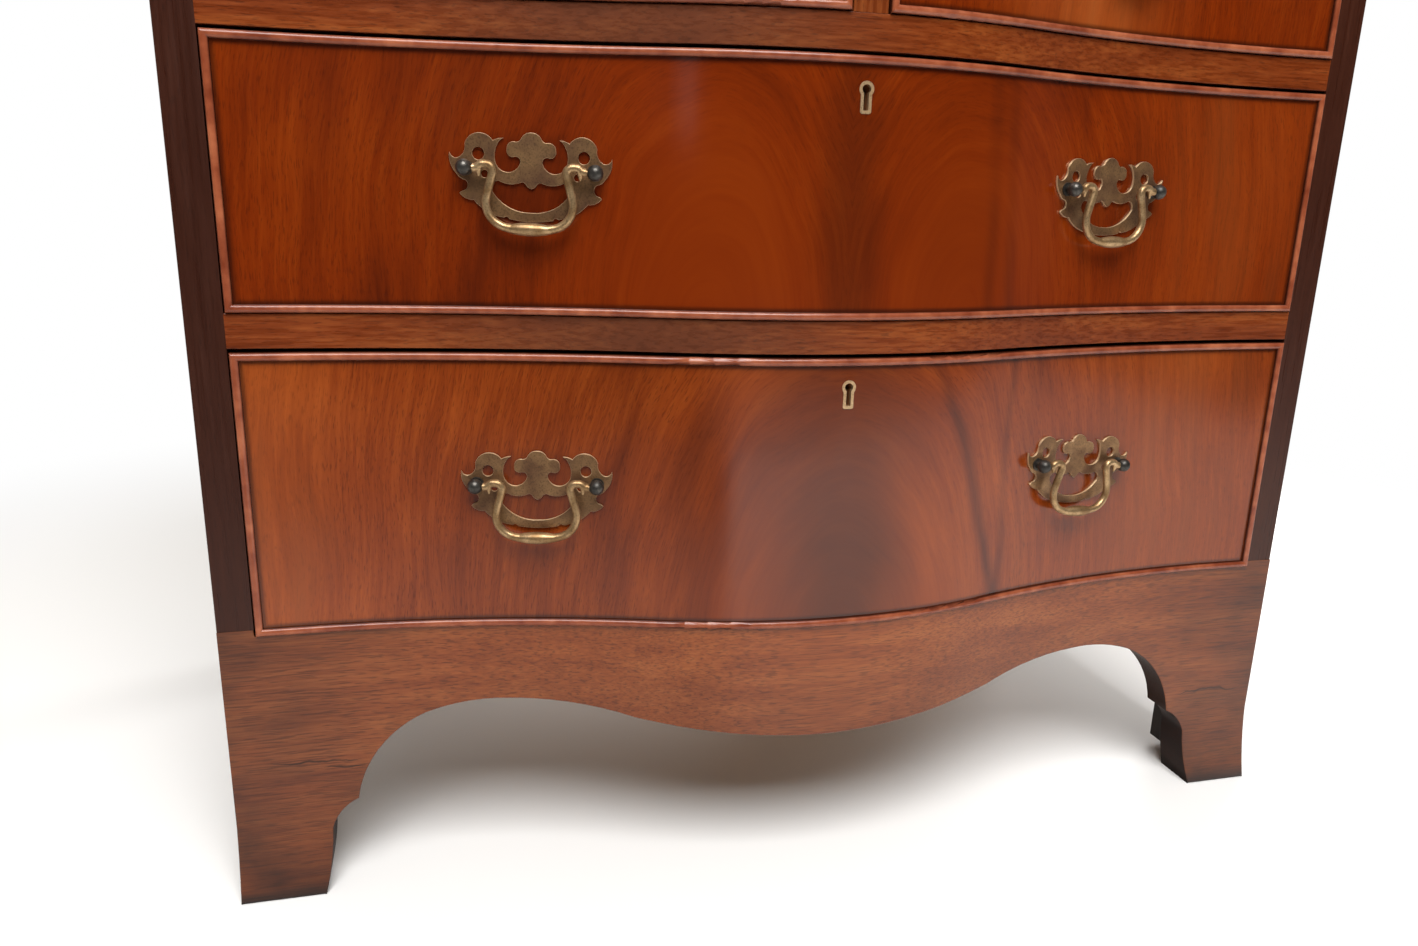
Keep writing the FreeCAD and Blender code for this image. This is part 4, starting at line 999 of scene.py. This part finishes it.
def slotted_head(place: Vector, turn: float, slot_turn: float) -> bpy.types.Object:
    """A round screw head with a slot, which faces the back of the chest.

    Args:
        place: Where its middle lies, so that half of it stands out of the metal.
        turn: Turn of the lock about the upright axis, in radians.
        slot_turn: Turn of the slot, in radians.

    Returns:
        The head.
    """
    radius, rise, half_slot = 2.1 * MM, 0.9 * MM, 0.35 * MM
    bpy.ops.object.select_all(action="DESELECT")
    bpy.ops.mesh.primitive_cylinder_add(vertices=24, radius=radius, depth=rise, location=(0, 0, 0))
    head = bpy.context.object
    bpy.ops.object.mode_set(mode="EDIT")
    for offset in (-half_slot, half_slot):
        bpy.ops.mesh.select_all(action="SELECT")
        bpy.ops.mesh.bisect(plane_co=(0, offset, 0), plane_no=(0, 1, 0))
    bpy.ops.mesh.select_mode(type="FACE")
    bpy.ops.mesh.select_all(action="DESELECT")
    mesh = bmesh.from_edit_mesh(head.data)
    for face in mesh.faces:
        face.select_set(face.normal.z > SQUARE_ON and abs(face.calc_center_median().y) < half_slot * 0.9)
    bmesh.update_edit_mesh(head.data)
    bpy.ops.mesh.extrude_region_move(TRANSFORM_OT_translate={"value": (0, 0, -rise / 2)})
    bpy.ops.mesh.select_all(action="SELECT")
    bpy.ops.mesh.normals_make_consistent(inside=False)
    bpy.ops.transform.rotate(value=slot_turn, orient_axis="Z")
    bpy.ops.transform.rotate(value=math.pi / 2, orient_axis="X")
    bpy.ops.transform.rotate(value=turn, orient_axis="Z")
    bpy.ops.transform.translate(value=place)
    bpy.ops.object.mode_set(mode="OBJECT")
    return head


def joined(pieces: Sequence[bpy.types.Object], name: str, finish: bpy.types.Material) -> bpy.types.Object:
    """Join small pieces into one object with one finish.

    Args:
        pieces: The pieces.
        name: The object's new name.
        finish: Its material.

    Returns:
        The object.
    """
    select_only(*pieces)
    bpy.ops.object.join()
    whole = bpy.context.object
    whole.name = name
    whole.data.materials.append(finish)
    bpy.ops.object.shade_smooth_by_angle(angle=math.radians(40))
    LOG.info("joined %s: %d heads", name, len(pieces))
    return whole


@dataclass
class Drawer:
    """One drawer with its front, bead, box, lock and handles."""

    shop: Workshop
    name: str
    veneer: FlameVeneer
    bails: tuple[str, ...]
    box_arris_mm: float = 1.4
    plate_arris_mm: float = 0.3
    plate_drop_mm: float = 4.0
    screws_mm: tuple[tuple[float, float], ...] = ((-26.5, -14.0), (26.5, -14.0), (-26.5, 12.0), (26.5, 12.0))

    def build(self) -> None:
        """Dress every piece of the drawer, and screw on its lock."""
        shop, name = self.shop, self.name
        hinges = [shop.joints[f"{bail}_swing"]["pos_m"] for bail in self.bails]
        plates = tuple((place[0], place[2] - self.plate_drop_mm * MM) for place in hinges)
        shop.dress(f"{name}_front", replace(self.veneer, handles=plates).build())
        for part, finish in (("cock_bead", "waxed_bead_mahogany"), ("bottom", "bare_oak_across"),
                             ("lock_case", "dull_lock_brass"), ("lock_bolt", "grey_bolt_steel"),
                             ("escutcheon", "bright_thread_brass"), ("handle_posts", "dark_post_bronze")):
            shop.dress(f"{name}_{part}", finish)
        for bail in self.bails:
            shop.dress(bail, "handled_bail_brass")
        for part, finish in (("sides", "bare_oak_deep"), ("back", "bare_oak_across")):
            _low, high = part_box(f"{name}_{part}")
            shop.soften(f"{name}_{part}", finish, (self.box_arris_mm, top_arris(high.z)))
        shop.soften(f"{name}_handle_plates", "brown_plate_brass", (self.plate_arris_mm, plate_arris))
        self.lock_screws()

    def lock_screws(self) -> None:
        """Four slotted screws through the flanges of the lock's plate.

        The lock of a short drawer lies in line with its one handle, and turns with the front there.
        """
        first_slot, slot_step = 0.4, 1.1
        low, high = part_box(f"{self.name}_lock_case")
        middle_z = (low.z + high.z) / 2
        turn, inside = 0.0, Vector((0.0, high.y, middle_z))
        if len(self.bails) == 1:
            joint = self.shop.joints[f"{self.bails[0]}_swing"]
            along = -Vector(joint["axis"])
            turn = math.atan2(along.y, along.x)
            into = Vector((-math.sin(turn), math.cos(turn), 0.0))
            thread_low, thread_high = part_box(f"{self.name}_escutcheon")
            keyhole = Vector((joint["pos_m"][0], (thread_low.y + thread_high.y) / 2, middle_z))
            inside = keyhole + into * (FRONT_THICKNESS_MM * MM)
        across = Vector((math.cos(turn), math.sin(turn), 0.0))
        heads = []
        for index, (x_mm, z_mm) in enumerate(self.screws_mm):
            place = inside + across * (x_mm * MM) + Vector((0.0, 0.0, z_mm * MM))
            heads.append(slotted_head(place, turn, first_slot + index * slot_step))
        screws = joined(heads, f"{self.name}_lock_screws", self.shop.finish["grey_bolt_steel"])
        self.shop.attach(screws, f"{self.name}_lock_case", "bolt_steel")


@dataclass(frozen=True)
class Softbox:
    """A rectangular soft lamp, which hangs at a place and points at a target."""

    name: str
    place: tuple[float, float, float]
    target: tuple[float, float, float]
    size: tuple[float, float]
    watts: float

    def build(self) -> None:
        """Hang the lamp."""
        data = bpy.data.lights.new(self.name, "AREA")
        data.shape = "RECTANGLE"
        data.size, data.size_y = self.size
        data.energy = self.watts
        lamp = bpy.data.objects.new(self.name, data)
        lamp.location = self.place
        aim = Vector(self.target) - Vector(self.place)
        lamp.rotation_euler = aim.to_track_quat("-Z", "Y").to_euler()
        bpy.context.scene.collection.objects.link(lamp)


@dataclass
class Studio:
    """Floor, light and camera."""

    focal_px: float = 1024.3
    eye: tuple[float, float, float] = (-0.2430, -0.6535 + FRONT_Y, 0.4619)
    yaw_deg: float = 14.22
    pitch_deg: float = 14.79
    roll_deg: float = 1.42
    floor_front_y: float = -1.5
    floor_width: float = 14.0
    floor_depth: float = 8.0
    lamps: tuple[Softbox, ...] = (
        Softbox("front_softbox", (-0.2, -1.7, 2.5), (0.0, -0.1, 0.3), (1.7, 1.5), 99.0),
        Softbox("side_softbox", (1.2, 0.8, 0.5), (0.3, 0.0, 0.0), (0.5, 0.3), 11.0),
        Softbox("strip_light", (-0.4035, -1.166, 0.618), (-0.104, -0.212, 0.52), (0.04, 0.11), 0.015),
    )

    def build(self) -> None:
        """Set up the floor, the world, the lamps and the camera."""
        scene = bpy.context.scene
        scene.view_settings.view_transform = "Standard"
        self.floor()
        self.world()
        for lamp in self.lamps:
            lamp.build()
        scene.camera = self.camera()

    def floor(self) -> None:
        """A plain white floor that ends in front of the chest, and runs into the background behind it."""
        bpy.ops.object.select_all(action="DESELECT")
        bpy.ops.mesh.primitive_plane_add(size=1.0, location=(0, 0, 0))
        floor = bpy.context.object
        floor.name = "floor"
        bpy.ops.object.mode_set(mode="EDIT")
        bpy.ops.mesh.select_all(action="SELECT")
        bpy.ops.transform.resize(value=(self.floor_width, self.floor_depth, 1.0))
        bpy.ops.transform.translate(value=(0.0, self.floor_front_y + self.floor_depth / 2, 0.0))
        bpy.ops.object.mode_set(mode="OBJECT")
        floor.data.materials.append(self.paper())

    def paper(self) -> bpy.types.Material:
        """Matt white paper, which takes the chest's shadow.

        Far from the chest it fades to the background's white for the camera.  In the drawers' polish, the
        strip of it that lies towards the camera is dark.

        Returns:
            The material.
        """
        white_tint, dark_tint = "#F8F7F5", "#1A1817"
        fade_start, fade_end = 0.75, 1.5
        material = bpy.data.materials.new("white_paper_floor")
        tree = Tree(material)
        place = tree.add("TexCoord", out="Object")
        x = tree.add("SeparateXYZ", {0: place}, "X")
        y = tree.add("SeparateXYZ", {0: place}, "Y")
        # The strip runs forward and to the left, and widens: share is one along its right edge
        line = tree.add("Math", {0: y, 1: -0.173, 2: 0.14}, operation="MULTIPLY_ADD")
        off = tree.add("Math", {0: x, 1: line}, operation="ADD")
        half = tree.add("Math", {0: y, 1: -0.067, 2: 0.087}, operation="MULTIPLY_ADD")
        share = tree.add("Math", {0: off, 1: half}, operation="DIVIDE")
        left = tree.add("MapRange", {0: share, 1: -1.4, 2: 0.7, 3: 0.85, 4: 1.0})
        strip = tree.add("MapRange", {0: share, 1: 0.85, 2: 1.2, 3: left, 4: 0.0},
                         interpolation_type="SMOOTHSTEP")
        ahead = tree.add("MapRange", {0: y, 1: -1.15, 2: -0.62, 3: 0.93, 4: 0.36})
        hidden = tree.add("Math", {0: strip, 1: ahead}, operation="MULTIPLY")
        mirrored = tree.add("LightPath", out="Is Glossy Ray")
        dark = tree.add("Math", {0: hidden, 1: mirrored}, operation="MULTIPLY")
        colour = tree.add("Mix", {0: dark, 6: linear(white_tint), 7: linear(dark_tint)}, 2,
                          data_type="RGBA")
        matt = tree.add("BsdfDiffuse", {"Color": colour})
        white = tree.add("Emission", {"Color": linear("#FFFFFF"), "Strength": 1.0})
        distance = tree.add("VectorMath", {0: place}, "Value", operation="LENGTH")
        far = tree.add("MapRange", {0: distance, 1: fade_start, 2: fade_end, 3: 0.0, 4: 1.0},
                       interpolation_type="SMOOTHSTEP")
        seen = tree.add("LightPath", out="Is Camera Ray")
        fade = tree.add("Math", {0: far, 1: seen}, operation="MULTIPLY")
        shader = tree.add("MixShader", {0: fade, 1: matt, 2: white})
        tree.add("OutputMaterial", {"Surface": shader})
        return material

    def world(self) -> None:
        """White behind the chest and above it, a pale wall on the right and a dark room at the front.

        In the drawers' polish, the floor's white goes on past its front edge on the right.
        """
        world = bpy.data.worlds.new("studio")
        bpy.context.scene.world = world
        tree = Tree(world)
        way = tree.add("TexCoord", out="Generated")
        x = tree.add("SeparateXYZ", {0: way}, "X")
        y = tree.add("SeparateXYZ", {0: way}, "Y")
        z = tree.add("SeparateXYZ", {0: way}, "Z")
        under = tree.add("MapRange", {0: z, 1: -0.1, 2: 0.0, 3: 0.2, 4: 0.0})
        paper = tree.add("MapRange", {0: x, 1: -0.3, 2: 0.05, 3: 0.03, 4: 0.8},
                         interpolation_type="SMOOTHSTEP")
        onward = tree.add("MapRange", {0: z, 1: -0.19, 2: -0.15, 3: paper, 4: 0.0})
        mirrored = tree.add("LightPath", out="Is Glossy Ray")
        level = tree.add("Mix", {0: mirrored, 2: under, 3: onward})
        # Back, ceiling and right wall: where each starts and is full, and its light at both
        for axis, start, full, dim, bright in ((y, -0.42, 0.6, 0.02, 0.75), (z, 0.35, 0.9, 0.0, 0.35),
                                               (x, 0.86, 0.98, 0.0, 0.4)):
            part = tree.add("MapRange", {0: axis, 1: start, 2: full, 3: dim, 4: bright})
            level = tree.add("Math", {0: level, 1: part}, operation="MAXIMUM")
        seen = tree.add("LightPath", out="Is Camera Ray")
        shown = tree.add("Math", {0: level, 1: seen}, operation="MAXIMUM")
        tint = tree.add("Mix", {0: seen, 6: linear("#FFFAF4"), 7: linear("#FFFFFF")}, 2, data_type="RGBA")
        light = tree.add("Background", {"Color": tint, "Strength": shown})
        tree.add("OutputWorld", {"Surface": light})

    def camera(self) -> bpy.types.Object:
        """Place the camera where the photograph was taken from.

        Returns:
            The camera's object.
        """
        yaw, pitch, roll = (math.radians(a) for a in (self.yaw_deg, self.pitch_deg, self.roll_deg))
        ahead = Vector((math.sin(yaw) * math.cos(pitch), math.cos(yaw) * math.cos(pitch), -math.sin(pitch)))
        level = Vector((math.cos(yaw), -math.sin(yaw), 0.0))
        up = level.cross(ahead)
        right = level * math.cos(roll) + up * math.sin(roll)
        upward = up * math.cos(roll) - level * math.sin(roll)
        data = bpy.data.cameras.new("camera")
        data.sensor_fit = "HORIZONTAL"
        data.sensor_width = 36.0
        data.lens = self.focal_px / PHOTO_WIDTH_PX * data.sensor_width
        data.clip_start = 0.01
        camera = bpy.data.objects.new("camera", data)
        turn = Matrix((right, upward, -ahead)).transposed().to_4x4()
        camera.matrix_world = Matrix.Translation(self.eye) @ turn
        bpy.context.scene.collection.objects.link(camera)
        return camera


def veneer_rim(name: str) -> tuple[float, float, float, float]:
    """The edges of the veneer inside a drawer's bead.

    Args:
        name: The drawer's name.

    Returns:
        Its left, right, low and high edge.
    """
    low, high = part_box(f"{name}_cock_bead")
    bead = BEAD_WIDTH_MM * MM
    return low.x + bead, high.x - bead, low.z + bead, high.z - bead


def veneers() -> dict[str, FlameVeneer]:
    """The veneer of each drawer's front.

    Returns:
        The veneers by the drawers' names: a broad plume on the lower drawer, a narrow one between two
        arches on the upper drawer, and straight ribbon grain on the short ones.
    """
    pale = "#B4602A"
    short = {"arch_x": 0.4, "turn_over": 0.1}
    return {
        # A broad dark plume under low arches, in the palest colours of the four: paler wood, and painted
        # light from the floor's bounce
        "lower_long": FlameVeneer(
            "flame_veneer_lower", veneer_rim("lower_long"), feather_x=0.002, arch_x=0.0, arch_drop=0.05,
            # Paler colours than the upper drawer: partly painted light from the floor
            turn_over=0.5, calm_mm=150.0, feather_mm=76.0, feather_dark=0.66, dark="#5C2108",
            middle="#7A320D", pale="#944515",
            veins=(Vein(-0.145, 0.1, 200.0, 0.38), Vein(-0.38, 0.0, 90.0, 0.4, pale),
                   Vein(0.29, -0.05, 110.0, 0.3, pale), Vein(0.146, -0.36, 9.0, 0.75),
                   Vein(0.13, 0.0, 7.0, 0.55), Vein(0.15, 0.0, 12.0, 0.3))),
        # Two arches that meet in a narrow plume, with fine dark streaks on its right
        "upper_long": FlameVeneer(
            "flame_veneer_upper", veneer_rim("upper_long"), feather_x=-0.005, feather_mm=26.0,
            feather_dark=0.4, shift=20.0,
            veins=(Vein(0.1, -0.05, 9.0, 0.4), Vein(0.12, -0.1, 9.0, 0.4), Vein(0.184, -0.08, 7.0, 0.4),
                   Vein(-0.26, 0.0, 160.0, 0.42), Vein(0.03, 0.0, 170.0, 0.16),
                   Vein(0.3, 0.0, 130.0, 0.16, pale))),
        # Straight ribbon grain, palest in the middle, on both short drawers
        "left_short": FlameVeneer(
            "flame_veneer_left", veneer_rim("left_short"), feather_x=-0.18, shift=40.0, **short,
            veins=(Vein(-0.21, 0.0, 100.0, 0.4, pale), Vein(-0.33, -0.05, 45.0, 0.35),
                   Vein(-0.115, 0.1, 8.0, 0.35), Vein(-0.05, 0.06, 35.0, 0.3))),
        "right_short": FlameVeneer(
            "flame_veneer_right", veneer_rim("right_short"), feather_x=0.18, shift=60.0, **short,
            # The broad pale vein is paler wood together with a painted sheen
            veins=(Vein(0.165, 0.0, 105.0, 0.5, pale), Vein(0.335, 0.05, 40.0, 0.4),
                   Vein(0.24, -0.08, 7.0, 0.4), Vein(0.3, -0.05, 12.0, 0.35))),
    }


def main() -> None:
    """Load the frame, dress the chest and set up the studio."""
    logging.basicConfig(level=logging.INFO, format="%(name)s: %(message)s")
    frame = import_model()
    shop = Workshop(frame)
    Case(shop).build()
    LOG.info("finished the case")
    for name, veneer in veneers().items():
        ends = ("_left", "_right") if name.endswith("long") else ("",)
        Drawer(shop, name, veneer, tuple(f"{name}_bail{end}" for end in ends)).build()
        LOG.info("finished the %s drawer", name)
    Studio().build()


if __name__ == "__main__":
    main()
